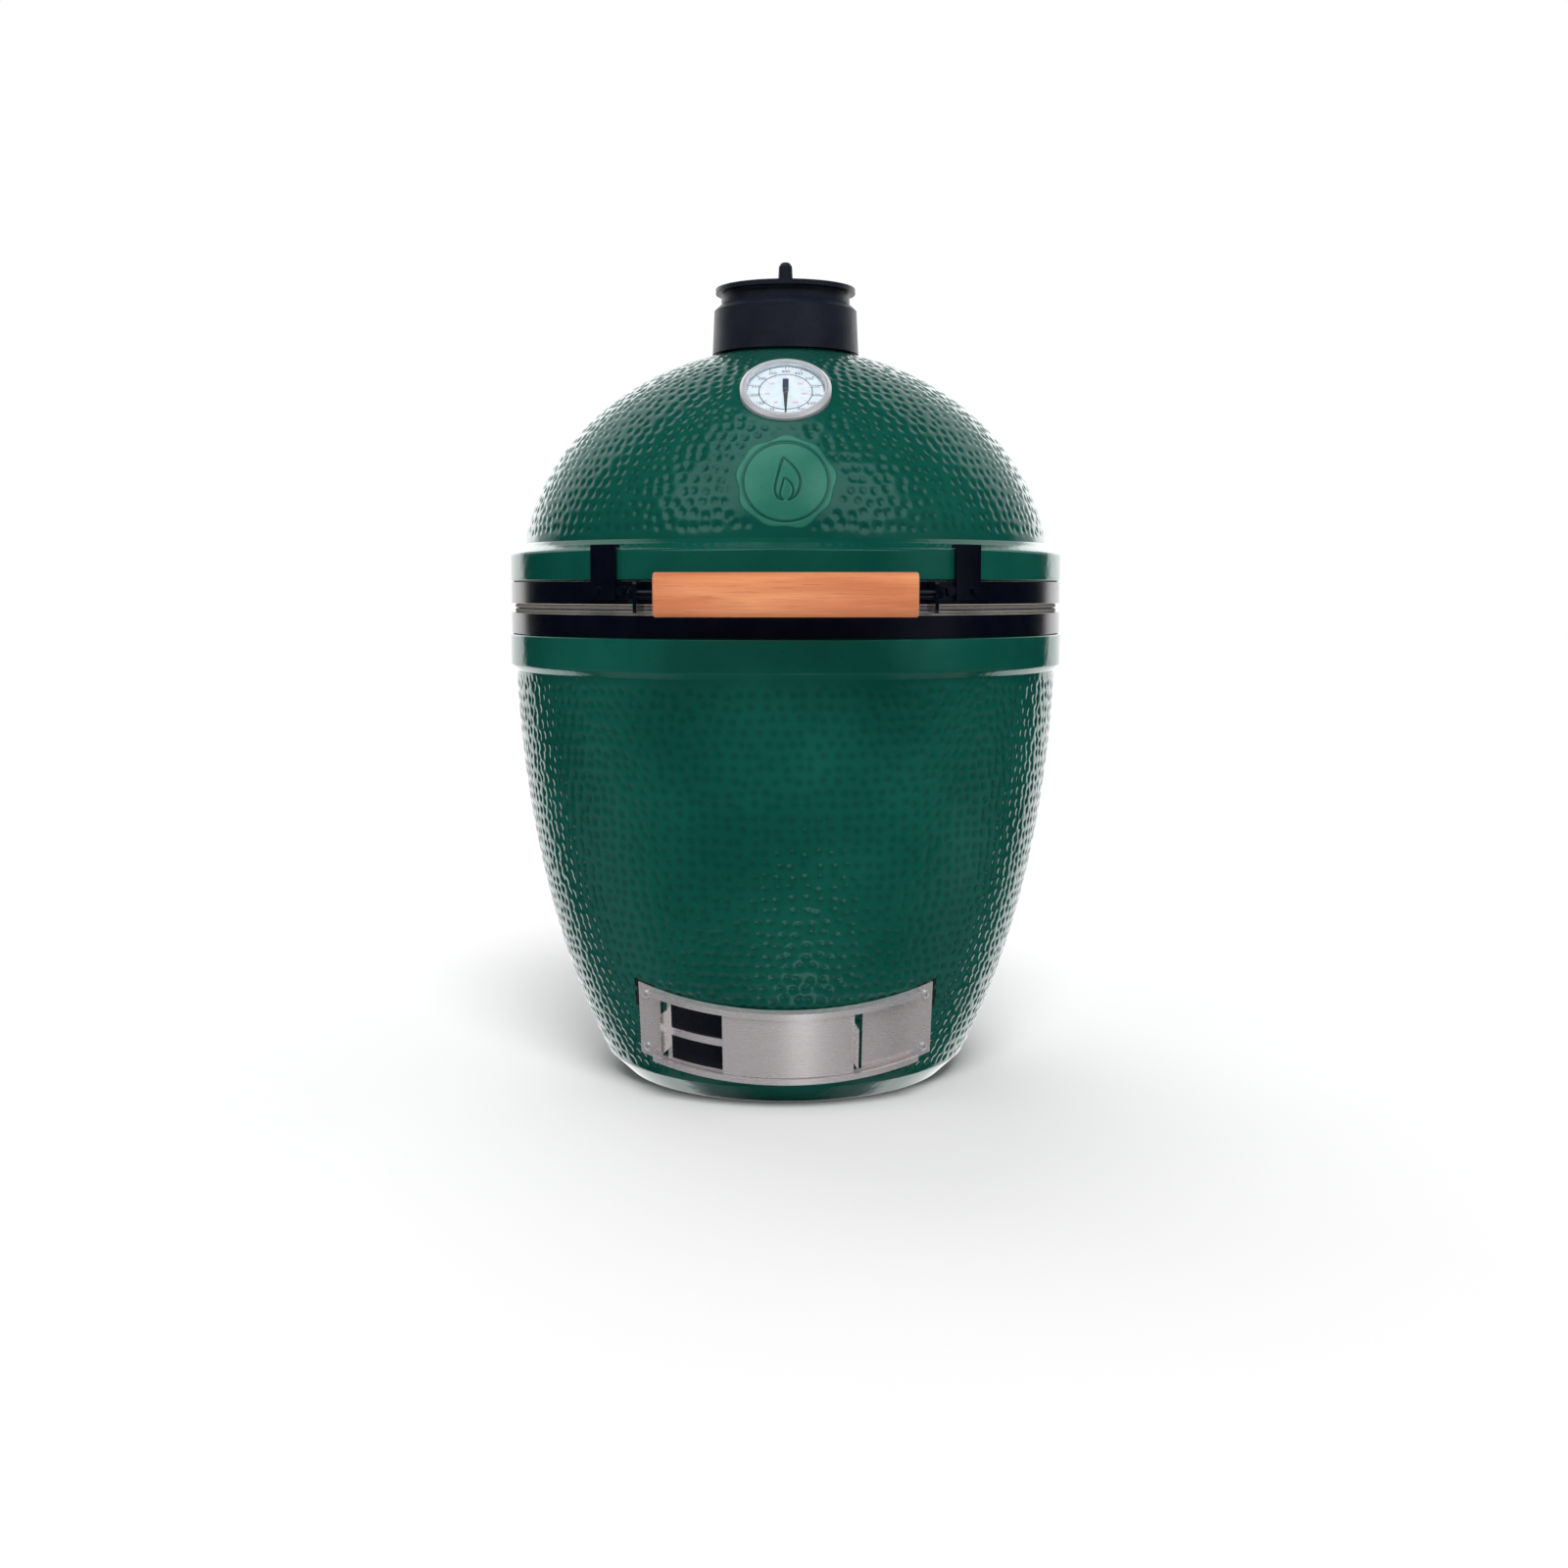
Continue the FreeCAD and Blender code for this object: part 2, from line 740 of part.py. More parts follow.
def hinge_pin_clips():
    """A retaining ring on each end of the pin, just outside the outer arms."""
    rings = []
    for word, side in SIDES.items():
        outside = "lower_arm_inside + arm_thickness + clip_gap"
        edge = outside if side > 0 else f"-({outside}) - clip_thickness"
        disc = cylinder(f"clip_disc_{word}", "clip_radius", "clip_thickness", edge,
                        "hinge_back", "hinge_height", ALONG_X)
        bore = cylinder(f"clip_bore_{word}", "pin_radius + pin_clearance", "clip_thickness + 2",
                        f"{edge} - 1", "hinge_back", "hinge_height", ALONG_X)
        rings.append(cut(f"clip_{word}", disc, bore))
    return node(gathered("hinge_pin_clips", *rings))


def assist_spring(word, side):
    """A torsion spring on the pin: its close coils as one sleeve, and its two legs."""
    name = f"assist_spring_{word}"
    low = "spring_inside" if side > 0 else "-spring_outside"
    long = "spring_outside - spring_inside"
    middle = "(spring_inner + spring_outer) / 2"
    coil = cylinder(name + "_coil", "spring_outer", long, low, "hinge_back", "hinge_height", ALONG_X)
    bore = cylinder(name + "_bore", "spring_inner", f"{long} + 2", f"{low} - 1", "hinge_back",
                    "hinge_height", ALONG_X)
    outer_end = f"{side} * (spring_outside - spring_wire - leg_inset)"
    inner_end = f"{side} * (spring_inside + spring_wire + leg_inset)"
    upper = cylinder(name + "_upper_leg", "spring_leg", "upper_leg_length", outer_end,
                     "hinge_back - upper_leg_length", f"hinge_height + {middle}", ALONG_Y)
    lower = cylinder(name + "_lower_leg", "spring_leg", "lower_leg_length", inner_end,
                     "hinge_back - lower_leg_length", f"hinge_height - {middle}", ALONG_Y)
    return node(cut(name, fuse(name + "_whole", coil, upper, lower), bore))


# ---------------------------------------------------------------- ceramic dome
def dome_shell():
    solid = revolved_shell("dome_ceramic", [
        ("dome_inner_radius", "dome_rim"),
        ("seat_radius", "dome_rim"),
        ("seat_radius", "dome_seat_top"),
        ("dome_flange_radius", "dome_flange_low"),
        ("dome_flange_radius", "dome_flange_top"),
        ("dome_slope_radius", "dome_slope_top"),
        (None, "dome_wall_low"),
        ("neck_radius", None, "dome_outside"),
        ("neck_radius", "neck_top"),
        ("chimney_radius", "neck_top"),
        ("chimney_radius", None),
        (None, "dome_oval_centre", "dome_inside"),
    ], "edge_round", ("dome_flange_radius", "dome_flange_low"),
        ("dome_flange_radius", "dome_flange_top"))
    seat = on_dial(gathered(
        "dial_seat",
        cylinder("bezel_seat", "bezel_radius + bezel_play", "overcut", z="-bezel_depth - seat_floor_gap"),
        cylinder("can_seat", "can_radius + can_play", "overcut", z="-can_depth - seat_floor_gap"),
        cylinder("stem_bore", "stem_hole", "overcut", z="-overcut"),
    ))
    return node(cut("dome_shell", solid, seat))


def dome_gasket():
    top = "dome_rim - gasket_gap"
    return node(sector("dome_gasket", "gasket_inner", "gasket_outer", f"{top} - gasket_thickness", top))


# ---------------------------------------------------------------- handle
def bracket_holes(name, radius):
    """Rods through the four bracket bolt places."""
    return [
        radial_rod(f"{name}_{word}_{i}", radius, "bracket_bore_start", "bracket_bore_end",
                   f"{side} * {angle}", "bracket_bolt_height")
        for word, side in SIDES.items()
        for i, angle in enumerate(["bracket_bolt_near", "bracket_bolt_far"])
    ]


def handle_bracket(word, side):
    """A strip on the upper band, an ear that holds the rod, and a strap hooked over the flange."""
    name = f"handle_bracket_{word}"

    def arc(piece, inner, outer, low, high, start, end):
        near, far = (start, end) if side > 0 else (f"-{end}", f"-{start}")
        return sector(f"{name}_{piece}", inner, outer, low, high, near, far)

    strip = arc("strip", "bracket_inner", "bracket_outer", "bracket_low", "bracket_high",
                "bracket_start", "bracket_end")
    strap = arc("strap", "bracket_outer", "strap_outer", "bracket_low", "hook_high",
                "strap_start", "strap_end")
    hook = arc("hook", "hook_inner", "strap_outer", "hook_low", "hook_high",
               "strap_start", "strap_end")
    edge = "ear_inside" if side > 0 else "-ear_inside - handle_ear_thickness"
    ear = box(f"{name}_ear_blank", "handle_ear_thickness",
              "handle_front + handle_ear_reach - handle_ear_back", "handle_ear_below + handle_ear_above",
              edge, "-handle_front - handle_ear_reach", "handle_height - handle_ear_below")
    ear = softened(f"{name}_ear", ear, "handle_ear_round", V(1, 0, 0), -number("handle_front"))
    rod = cylinder(f"{name}_rod_bore", "rod_radius + pin_clearance", "cross_cut", "-cross_cut / 2",
                   "-handle_front", "handle_height", ALONG_X)
    holes = bracket_holes(name + "_hole", "bracket_bolt + bolt_play")
    return node(cut(name, fuse(name + "_whole", strip, strap, hook, ear), rod, *holes))


def handle_bracket_bolts():
    """Button-headed bolts: the near one sits on the strip, the far one on the strap."""
    bolts = []
    for word, side in SIDES.items():
        for i, (angle, face) in enumerate([("bracket_bolt_near", "bracket_outer"),
                                           ("bracket_bolt_far", "strap_outer")]):
            name = f"bracket_bolt_{word}_{i}"
            head = cylinder(name + "_head", "bolt_head", "bolt_head_thickness", y=f"{face} + rest_gap",
                            z="bracket_bolt_height", turn=ALONG_Y)
            shank = cylinder(name + "_shank", "bracket_bolt", f"{face} + 1 - band_inner",
                             y="band_inner", z="bracket_bolt_height", turn=ALONG_Y)
            bolts.append(turned(name, fuse(name + "_solid", head, shank), f"{side} * {angle} + 180"))
    return node(gathered("handle_bracket_bolts", *bolts))


def wood_handle():
    """A straight wooden bar with a rounded section, bored for the rod."""
    bar = padded("grip_bar", "YZ_Plane", [
        ("-handle_front - grip_depth / 2", "handle_height - grip_tall / 2"),
        ("-handle_front + grip_depth / 2", "handle_height - grip_tall / 2"),
        ("-handle_front + grip_depth / 2", "handle_height + grip_tall / 2"),
        ("-handle_front - grip_depth / 2", "handle_height + grip_tall / 2"),
    ], "2 * grip_half_length")
    rounded_along(bar, "grip_round", V(1, 0, 0))
    bore = cylinder("grip_bore", "rod_radius + pin_clearance", "2 * grip_half_length + 4",
                    "-grip_half_length - 2", "-handle_front", "handle_height", ALONG_X)
    return node(cut("wood_handle", bar, bore))


def handle_rod():
    half = "ear_inside + handle_ear_thickness + rod_overhang"
    return node(cylinder("handle_rod", "rod_radius", f"2 * ({half})", f"-({half})",
                         "-handle_front", "handle_height", ALONG_X))


def handle_rod_nuts():
    nuts = []
    for word, side in SIDES.items():
        outside = "ear_inside + handle_ear_thickness + bolt_play"
        edge = outside if side > 0 else f"-({outside}) - rod_nut_thickness"
        nuts.append(hexagon(f"rod_nut_{word}", "rod_nut_radius", "rod_radius + pin_clearance",
                            "rod_nut_thickness", edge, "-handle_front", "handle_height", ALONG_X))
    return node(gathered("handle_rod_nuts", *nuts))


# ---------------------------------------------------------------- thermometer
def thermometer_bezel():
    """The round case: a rim round the glass, and a smaller can behind it."""
    case = revolved("thermometer_bezel", [
        ("stem_radius + pin_clearance", "-can_depth"),
        ("can_radius", "-can_depth"),
        ("can_radius", "-bezel_depth"),
        ("bezel_radius", "-bezel_depth"),
        ("bezel_radius", "-bezel_edge"),
        ("bezel_radius - bezel_slope", "0"),
        ("window_radius", "0"),
        ("window_radius", "-window_lip"),
        ("glass_radius + rest_gap", "-window_lip"),
        ("glass_radius + rest_gap", "-case_floor"),
        ("stem_radius + pin_clearance", "-case_floor"),
    ])
    return node(on_dial(case))


def thermometer_glass():
    disc = cylinder("glass_disc", "glass_radius", "glass_thickness", z="-glass_back")
    return node(on_dial(gathered("thermometer_glass", disc)))


def thermometer_dial():
    disc = cylinder("dial_disc", "glass_radius", "dial_thickness", z="-dial_back")
    bore = cylinder("dial_bore", "shaft_radius + pin_clearance", "dial_thickness + 2", z="-dial_back - 1")
    return node(on_dial(cut("thermometer_dial", disc, bore)))


def thermometer_needle():
    """The pointer hangs straight down at rest and carries a broad tail above its hub."""
    hub = cylinder("needle_hub", "hub_radius", "1", z="-hub_low")
    shaft = cylinder("needle_shaft", "shaft_radius", "2", z="-shaft_low")
    pointer = box("needle_pointer", "pointer_width", "pointer_length", "needle_thickness",
                  "-pointer_width / 2", "-pointer_length", "-needle_low")
    tail = box("needle_tail", "tail_width", "tail_length", "needle_thickness", "-tail_width / 2", "0",
               "-needle_low")
    return node(on_dial(fuse("thermometer_needle", hub, shaft, pointer, tail)))


def thermometer_stem():
    thick = cylinder("stem_upper", "stem_radius", "stem_length * 0.6", z="-stem_top - stem_length * 0.6")
    thin = cylinder("stem_probe", "probe_radius", "stem_length", z="-stem_top - stem_length")
    return node(on_dial(fuse("thermometer_stem", thick, thin)))


def thermometer_clip():
    """A spring washer that grips the stem inside the dome."""
    disc = cylinder("clip_plate", "stem_clip_radius", "stem_clip_thickness", z="-stem_clip_low")
    bore = cylinder("clip_hole", "stem_radius + pin_clearance", "stem_clip_thickness + 2",
                    z="-stem_clip_low - 1")
    return node(on_dial(cut("thermometer_clip", disc, bore)))


# ---------------------------------------------------------------- chimney cap
def cap_collar():
    ring = revolved("collar_ring", [
        ("collar_inner", "collar_low"),
        ("collar_low_radius", "collar_low"),
        ("collar_shoulder_radius", "collar_shoulder"),
        ("collar_top_radius", "collar_shoulder + cap_slope_rise"),
        ("collar_top_radius", "collar_top"),
        ("cap_mouth", "collar_top"),
        ("cap_mouth", "collar_top - cap_lip"),
        ("cap_mouth + cap_ledge", "collar_top - cap_ledge"),
        ("cap_mouth + cap_ledge", "cap_seat"),
        ("collar_inner", "cap_seat"),
    ])
    bore = cylinder("collar_pivot_bore", "cap_bore", "overcut", y="pivot_back", z="collar_top - 20")
    return node(cut("cap_collar", ring, bore))


def cap_gasket():
    return node(sector("cap_gasket", "cap_mouth + cap_lip", "neck_radius - 0.5", "neck_top + gasket_gap",
                       "cap_seat - rest_gap"))


def petals(name, low, height):
    """The air holes that slide disc and daisy wheel share."""
    count = int(number("petal_count"))
    return [
        turned(f"{name}_{i}", cylinder(f"{name}_hole_{i}", "petal_radius", height, y="petal_ring", z=low),
               360 / count * i)
        for i in range(count)
    ]


def slide_disc():
    """The swinging lid: a flat disc on a low ring, with five air holes."""
    plate = cylinder("disc_plate", "disc_radius", "disc_high - disc_low", z="disc_low")
    ring = sector("disc_ring", "cap_mouth + disc_ring_inset", "collar_top_radius - disc_ring_play",
                  "collar_top + disc_gap", "disc_low")
    pivot = cylinder("disc_pivot_bore", "disc_bore", "overcut", y="pivot_back", z="disc_low - 20")
    centre = cylinder("disc_centre_bore", "disc_bore", "overcut", z="disc_low - 10")
    return node(cut("slide_disc", fuse("disc_whole", plate, ring), pivot, centre,
                    *petals("disc_petal", "disc_low - 5", "20")))


def cap_pivot_bolt():
    shank = cylinder("pivot_shank", "cap_bolt", "pivot_length + 1", y="pivot_back",
                     z="disc_high - pivot_length")
    head = cylinder("pivot_bolt_head", "pivot_head", "pivot_head_thickness", y="pivot_back",
                    z="disc_high + disc_gap")
    return node(fuse("cap_pivot_bolt", shank, head))


def daisy_wheel():
    wheel = cylinder("wheel_plate", "wheel_radius", "wheel_high - wheel_low", z="wheel_low")
    centre = cylinder("wheel_bore", "cap_bore", "20", z="wheel_low - 10")
    return node(cut("daisy_wheel", wheel, centre, *petals("wheel_petal", "wheel_low - 5", "20")))


def daisy_knob():
    """A slim upright post on a flared foot, with a blind bore for the rivet."""
    post = revolved("knob_post", [
        ("cap_bore", "wheel_high + rest_gap"),
        ("knob_foot", "wheel_high + rest_gap"),
        ("knob_foot", "wheel_high + rest_gap + knob_foot_thickness"),
        ("knob_radius", "wheel_high + rest_gap + knob_flare"),
        ("knob_radius - 0.8", "knob_top - 4"),
        ("knob_radius - 2.8", "knob_top - 0.8"),
        ("knob_radius - 4.4", "knob_top"),
        ("0", "knob_top"),
        ("0", "knob_top - knob_bore_drop"),
        ("cap_bore", "knob_top - knob_bore_drop"),
    ])
    post.Label = "daisy_knob"
    return node(post)


def daisy_rivet():
    """Its head is under the slide disc and its shank goes up into the knob."""
    head = cylinder("rivet_disc", "rivet_head", "rivet_head_thickness", z="disc_low - rivet_drop")
    shank = cylinder("rivet_shank", "cap_bolt", "knob_top - knob_bore_drop - 0.4 - disc_low",
                     z="disc_low - 0.4")
    return node(fuse("daisy_rivet", head, shank))


# ---------------------------------------------------------------- draft door
def vent_frame():
    """Two end plates joined by a folded rail above and below, in which the doors slide."""
    edge, lip = "vent_half_height", "rail_lip"
    pieces = [
        sector("vent_left_plate", "vent_plate_inner", "vent_plate_outer", f"-{edge}", edge,
               "-vent_end", "-vent_left_start"),
        sector("vent_right_plate", "vent_plate_inner", "vent_plate_outer", f"-{edge}", edge,
               "vent_right_start", "vent_end"),
    ]
    for word, side in (("lower", -1), ("upper", 1)):
        def span(depth):
            return (f"-{edge}", f"-{edge} + {depth}") if side < 0 else (f"{edge} - {depth}", edge)

        pieces.append(sector(f"vent_{word}_strip", "vent_plate_inner", "vent_plate_outer",
                             *span(f"({edge} - {lip})"), "-vent_end", "vent_end"))
        pieces.append(sector(f"vent_{word}_web", "vent_plate_inner", "rail_outer",
                             *span("rail_web"), "-vent_rail_end", "vent_rail_end"))
        pieces.append(sector(f"vent_{word}_lip", "rail_outer - rail_lip_thickness", "rail_outer",
                             *span(f"({edge} - {lip})"), "-vent_rail_end", "vent_rail_end"))
    holes = screw_rods("frame_hole", "screw_clear_hole", "screw_tip", "rail_outer + 6")
    return node(on_vent(cut("vent_frame", fuse("vent_frame_whole", *pieces), *holes)))


def vent_screws():
    heads = screw_rods("vent_screw_head", "screw_head", "vent_plate_outer + rest_gap",
                       "vent_plate_outer + rest_gap + screw_head_thickness")
    shanks = screw_rods("vent_screw_shank", "screw_shank", "screw_tip", "vent_plate_outer + 1")
    screws = [fuse(f"vent_screw_{i}", head, shank) for i, (head, shank) in enumerate(zip(heads, shanks))]
    return node(on_vent(gathered("vent_screws", *screws)))


def screen_door():
    """The inner door: a steel frame with four windows, and a finger tab at its left end."""
    sheet_metal = sector("screen_sheet", "screen_inner", "screen_outer", "-door_half_height",
                         "door_half_height", "-screen_left", "screen_right")
    tab = sector("screen_tab", "screen_inner", "tab_reach", "-tab_half_height", "tab_half_height",
                 "-screen_tab_end", "-screen_left")
    windows = [
        sector(f"screen_window_{column}_{row}", "screen_inner - 2", "screen_outer + 0.5", low, high,
               start, end)
        for column, (start, end) in enumerate([("-left_window_start", "-left_window_end"),
                                               ("-right_window_start", "right_window_end")])
        for row, (low, high) in enumerate([("-window_high", "-window_low"),
                                           ("window_low", "window_high")])
    ]
    return node(on_vent(cut("screen_door", fuse("screen_whole", sheet_metal, tab), *windows)))


def screen_mesh():
    return node(on_vent(sector("screen_mesh", "vent_plate_outer + bolt_play", "screen_inner - rest_gap",
                               "-mesh_half_height", "mesh_half_height", "-mesh_left", "mesh_right")))


def draft_door():
    """The outer door: a plain curved sheet with a finger tab at its right end."""
    sheet_metal = sector("damper_sheet", "damper_inner", "damper_outer", "-door_half_height",
                         "door_half_height", "-damper_left", "damper_right")
    tab = sector("damper_tab", "damper_inner", "tab_reach", "-tab_half_height", "tab_half_height",
                 "damper_right", "damper_tab_end")
    return node(on_vent(fuse("draft_door", sheet_metal, tab)))


# ---------------------------------------------------------------- inside the base
def fire_box():
    """A tapering pot with an open bottom, a ledge for the grate, a draft notch and air holes."""
    pot = revolved("fire_pot", [
        ("ledge_inner", "fire_box_low"),
        ("fire_box_low_radius", "fire_box_low"),
        ("fire_box_top_radius", "fire_box_top"),
        ("fire_box_top_radius - fire_box_wall", "fire_box_top"),
        ("grate_radius + grate_play", "ledge_height"),
        ("ledge_inner", "ledge_height"),
    ])
    notch = box("fire_notch", "notch_width", "notch_depth", "notch_top - fire_box_low + notch_drop",
                "-notch_width / 2", "-notch_depth - notch_behind", "fire_box_low - notch_drop")
    holes = [
        radial_rod(f"air_bore_{i}", "air_hole", "ledge_inner - 10", "fire_box_top_radius + 12",
                   f"{60 * i + 30}", "ledge_height + air_hole_rise")
        for i in range(6)
    ]
    return node(cut("fire_box", pot, notch, *holes))


def fire_ring():
    ring = revolved("fire_ring", [
        ("ring_inner - ring_taper", "ring_low"),
        ("ring_low_radius", "ring_low"),
        ("ring_top_radius", "ring_top"),
        ("ring_inner", "ring_top"),
    ])
    return node(ring)


def fire_grate():
    """A round cast-iron plate with parallel slots."""
    plate = cylinder("grate_plate", "grate_radius", "grate_thickness", z="ledge_height + 0.2")
    slots = []
    for i in range(-5, 6):
        reach = f"sqrt((grate_radius - grate_rim) ^ 2 - ({i} * grate_pitch) ^ 2)"
        slots.append(box(f"grate_slot_{i + 5}", "grate_slot", f"2 * {reach}", "grate_thickness + 4",
                         f"{i} * grate_pitch - grate_slot / 2", f"-{reach}", "ledge_height - 2"))
    return node(cut("fire_grate", plate, *slots))


def plate_setter():
    """A round ceramic plate with three ribbed legs that stand up from its shoulders."""
    solids = [cylinder("setter_plate", "setter_radius", "setter_thickness", z="setter_low")]
    for i in range(3):
        shoulder = box(f"setter_shoulder_{i}", "leg_width + 2 * shoulder_extra",
                       "leg_outer - shoulder_start", "setter_thickness",
                       "-leg_width / 2 - shoulder_extra", "shoulder_start", "setter_low")
        leg = box(f"setter_leg_{i}", "leg_width", "leg_outer - leg_inner", "setter_top - setter_low",
                  "-leg_width / 2", "leg_inner", "setter_low")
        rib = box(f"setter_rib_{i}", "rib_width", "rib_outer - leg_outer + 2", "setter_top - setter_low",
                  "-rib_width / 2", "leg_outer - 2", "setter_low")
        solids.append(turned(f"setter_arm_{i}", fuse(f"setter_arm_whole_{i}", shoulder, leg, rib), 120 * i))
    return node(fuse("plate_setter", *solids))


# ---------------------------------------------------------------- cooking grid
BAR_HEIGHT = "grid_ring_height + grid_ring_wire + grid_bar_wire + grid_wire_gap"


def grid_ring():
    ring = doc.addObject("Part::Torus", "grid_ring")
    bind(ring, Radius1="grid_radius", Radius2="grid_ring_wire")
    return node(place(ring, z="grid_ring_height"))


def grid_bars():
    """Parallel bars that lie across the ring."""
    bars = []
    count = int(number("grid_bar_count"))
    for i in range(count):
        across = f"({i} - (grid_bar_count - 1) / 2) * grid_pitch"
        reach = f"sqrt(grid_radius ^ 2 - ({across}) ^ 2)"
        bars.append(cylinder(f"grid_bar_{i}", "grid_bar_wire", f"2 * {reach}", across, f"-{reach}",
                             BAR_HEIGHT, ALONG_Y))
    return node(gathered("grid_bars", *bars))


def grid_cross_wires():
    """Two wires under the bars, reaching just past the outermost ones."""
    half = "((grid_bar_count - 1) / 2 * grid_pitch + grid_cross_overhang)"
    wires = [
        cylinder(f"cross_wire_{word}", "grid_bar_wire", f"2 * {half}", f"-{half}", f"{side} * grid_cross",
                 f"{BAR_HEIGHT} - 2 * grid_bar_wire - grid_wire_gap", ALONG_X)
        for word, side in SIDES.items()
    ]
    return node(gathered("grid_cross_wires", *wires))


# ---------------------------------------------------------------- the whole grill
base_shell()
base_gasket()
band("lower_band", "lower_band_low", "lower_band_high")
band("upper_band", "upper_band_low", "upper_band_high",
     *bracket_holes("band_hole", "bracket_bolt + bolt_play"))
hinge_bracket("lower_hinge_bracket", "lower_band_low", "lower_band_high",
              "lower_band_low + lower_arm_rise", "lower_band_high", "lower_arm_inside", "lower_arm_start")
hinge_bracket("upper_hinge_bracket", "upper_band_low", "upper_band_high", "upper_band_low",
              "upper_band_high - upper_arm_drop", "upper_arm_inside", "upper_arm_start")
for word in ("lower", "upper"):
    middle_level = f"({word}_band_low + {word}_band_high) / 2"
    band_bolts(f"{word}_band_bolts", middle_level)
    band_nuts(f"{word}_band_nuts", middle_level)
hinge_pin()
hinge_pin_clips()
for side_name, side_sign in SIDES.items():
    assist_spring(side_name, side_sign)
    handle_bracket(side_name, side_sign)
dome_shell()
dome_gasket()
handle_bracket_bolts()
wood_handle()
handle_rod()
handle_rod_nuts()
thermometer_bezel()
thermometer_glass()
thermometer_dial()
thermometer_needle()
thermometer_stem()
thermometer_clip()
cap_collar()
cap_gasket()
slide_disc()
cap_pivot_bolt()
daisy_wheel()
daisy_knob()
daisy_rivet()
vent_frame()
vent_screws()
screen_door()
screen_mesh()
draft_door()
fire_box()
fire_ring()
fire_grate()
plate_setter()
grid_ring()
grid_bars()
grid_cross_wires()

doc.recompute()
for item in doc.Objects:
    if {"Invalid", "Error"} & set(item.State):
        raise RuntimeError(f"{item.Name} failed: {item.getStatusString()}")
for item in NODES:
    if item.Shape.isNull() or not item.Shape.isValid() or not item.Shape.Solids:
        raise RuntimeError(f"{item.Label} has no valid shape")

os.makedirs("parts", exist_ok=True)
for item in NODES:
    item.Shape.exportStep(f"parts/{item.Label}.step")
print(len(NODES), "sub-parts written")
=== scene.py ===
import json
import math
import random

import bmesh
import bpy
import numpy as np
from mathutils import Matrix, Vector, noise
from mathutils.kdtree import KDTree


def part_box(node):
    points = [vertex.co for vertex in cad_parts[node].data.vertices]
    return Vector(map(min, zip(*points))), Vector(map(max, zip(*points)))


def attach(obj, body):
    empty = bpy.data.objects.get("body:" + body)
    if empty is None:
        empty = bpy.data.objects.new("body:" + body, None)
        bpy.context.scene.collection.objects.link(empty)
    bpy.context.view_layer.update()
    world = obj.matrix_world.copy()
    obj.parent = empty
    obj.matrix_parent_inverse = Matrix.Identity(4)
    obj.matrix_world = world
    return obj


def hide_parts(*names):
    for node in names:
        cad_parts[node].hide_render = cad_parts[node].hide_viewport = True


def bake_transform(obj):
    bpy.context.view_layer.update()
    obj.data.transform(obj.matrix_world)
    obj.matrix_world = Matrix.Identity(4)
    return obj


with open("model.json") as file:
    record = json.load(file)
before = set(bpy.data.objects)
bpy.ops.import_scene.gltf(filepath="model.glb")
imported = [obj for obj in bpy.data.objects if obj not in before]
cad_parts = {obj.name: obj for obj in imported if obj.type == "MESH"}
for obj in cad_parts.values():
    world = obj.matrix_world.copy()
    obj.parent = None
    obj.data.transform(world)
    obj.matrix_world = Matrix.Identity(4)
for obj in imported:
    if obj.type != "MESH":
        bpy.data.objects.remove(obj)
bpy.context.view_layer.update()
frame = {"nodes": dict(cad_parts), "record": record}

SCENE = bpy.context.scene
COLUMNS = 760
SLOTS = {row["node"]: row["material_slot"] for row in frame["record"]["subparts"]}


# ==== node helpers
def new_material(name):
    """An empty node material with a Principled shader, as (material, nodes, links, shader)."""
    made = bpy.data.materials.new(name)
    made.use_nodes = True
    nodes, links = made.node_tree.nodes, made.node_tree.links
    return made, nodes, links, nodes["Principled BSDF"]


def textured(nodes, links, kind, scale=1.0, stretch=(1, 1, 1), turn=(0, 0, 0), **inputs):
    """A procedural texture node that reads object coordinates, in metres, scaled and stretched."""
    place = nodes.new("ShaderNodeTexCoord")
    mapping = nodes.new("ShaderNodeMapping")
    mapping.inputs["Scale"].default_value = stretch
    mapping.inputs["Rotation"].default_value = turn
    links.new(place.outputs["Object"], mapping.inputs["Vector"])
    texture = nodes.new(kind)
    links.new(mapping.outputs["Vector"], texture.inputs["Vector"])
    texture.inputs["Scale"].default_value = scale
    for key, value in inputs.items():
        texture.inputs[key].default_value = value
    return texture


def clouded(nodes, links, scale, stretch=(1, 1, 1), **inputs):
    """The strength of a noise texture, as a socket."""
    return textured(nodes, links, "ShaderNodeTexNoise", scale, stretch, **inputs).outputs["Fac"]


def ramped(nodes, links, source, stops):
    """A colour ramp over a value; each stop is (place, colour)."""
    ramp = nodes.new("ShaderNodeValToRGB")
    links.new(source, ramp.inputs["Fac"])
    elements = ramp.color_ramp.elements
    for element, (place, colour) in zip(elements, stops):
        element.position, element.color = place, (*colour, 1)
    for place, colour in stops[2:]:
        elements.new(place).color = (*colour, 1)
    return ramp.outputs["Color"]


def ranged(nodes, links, source, low, high, start=0.0, end=1.0):
    """A value between start and end, spread from low to high."""
    spread = nodes.new("ShaderNodeMapRange")
    links.new(source, spread.inputs["Value"])
    for key, value in (("From Min", start), ("From Max", end), ("To Min", low), ("To Max", high)):
        spread.inputs[key].default_value = value
    return spread.outputs["Result"]


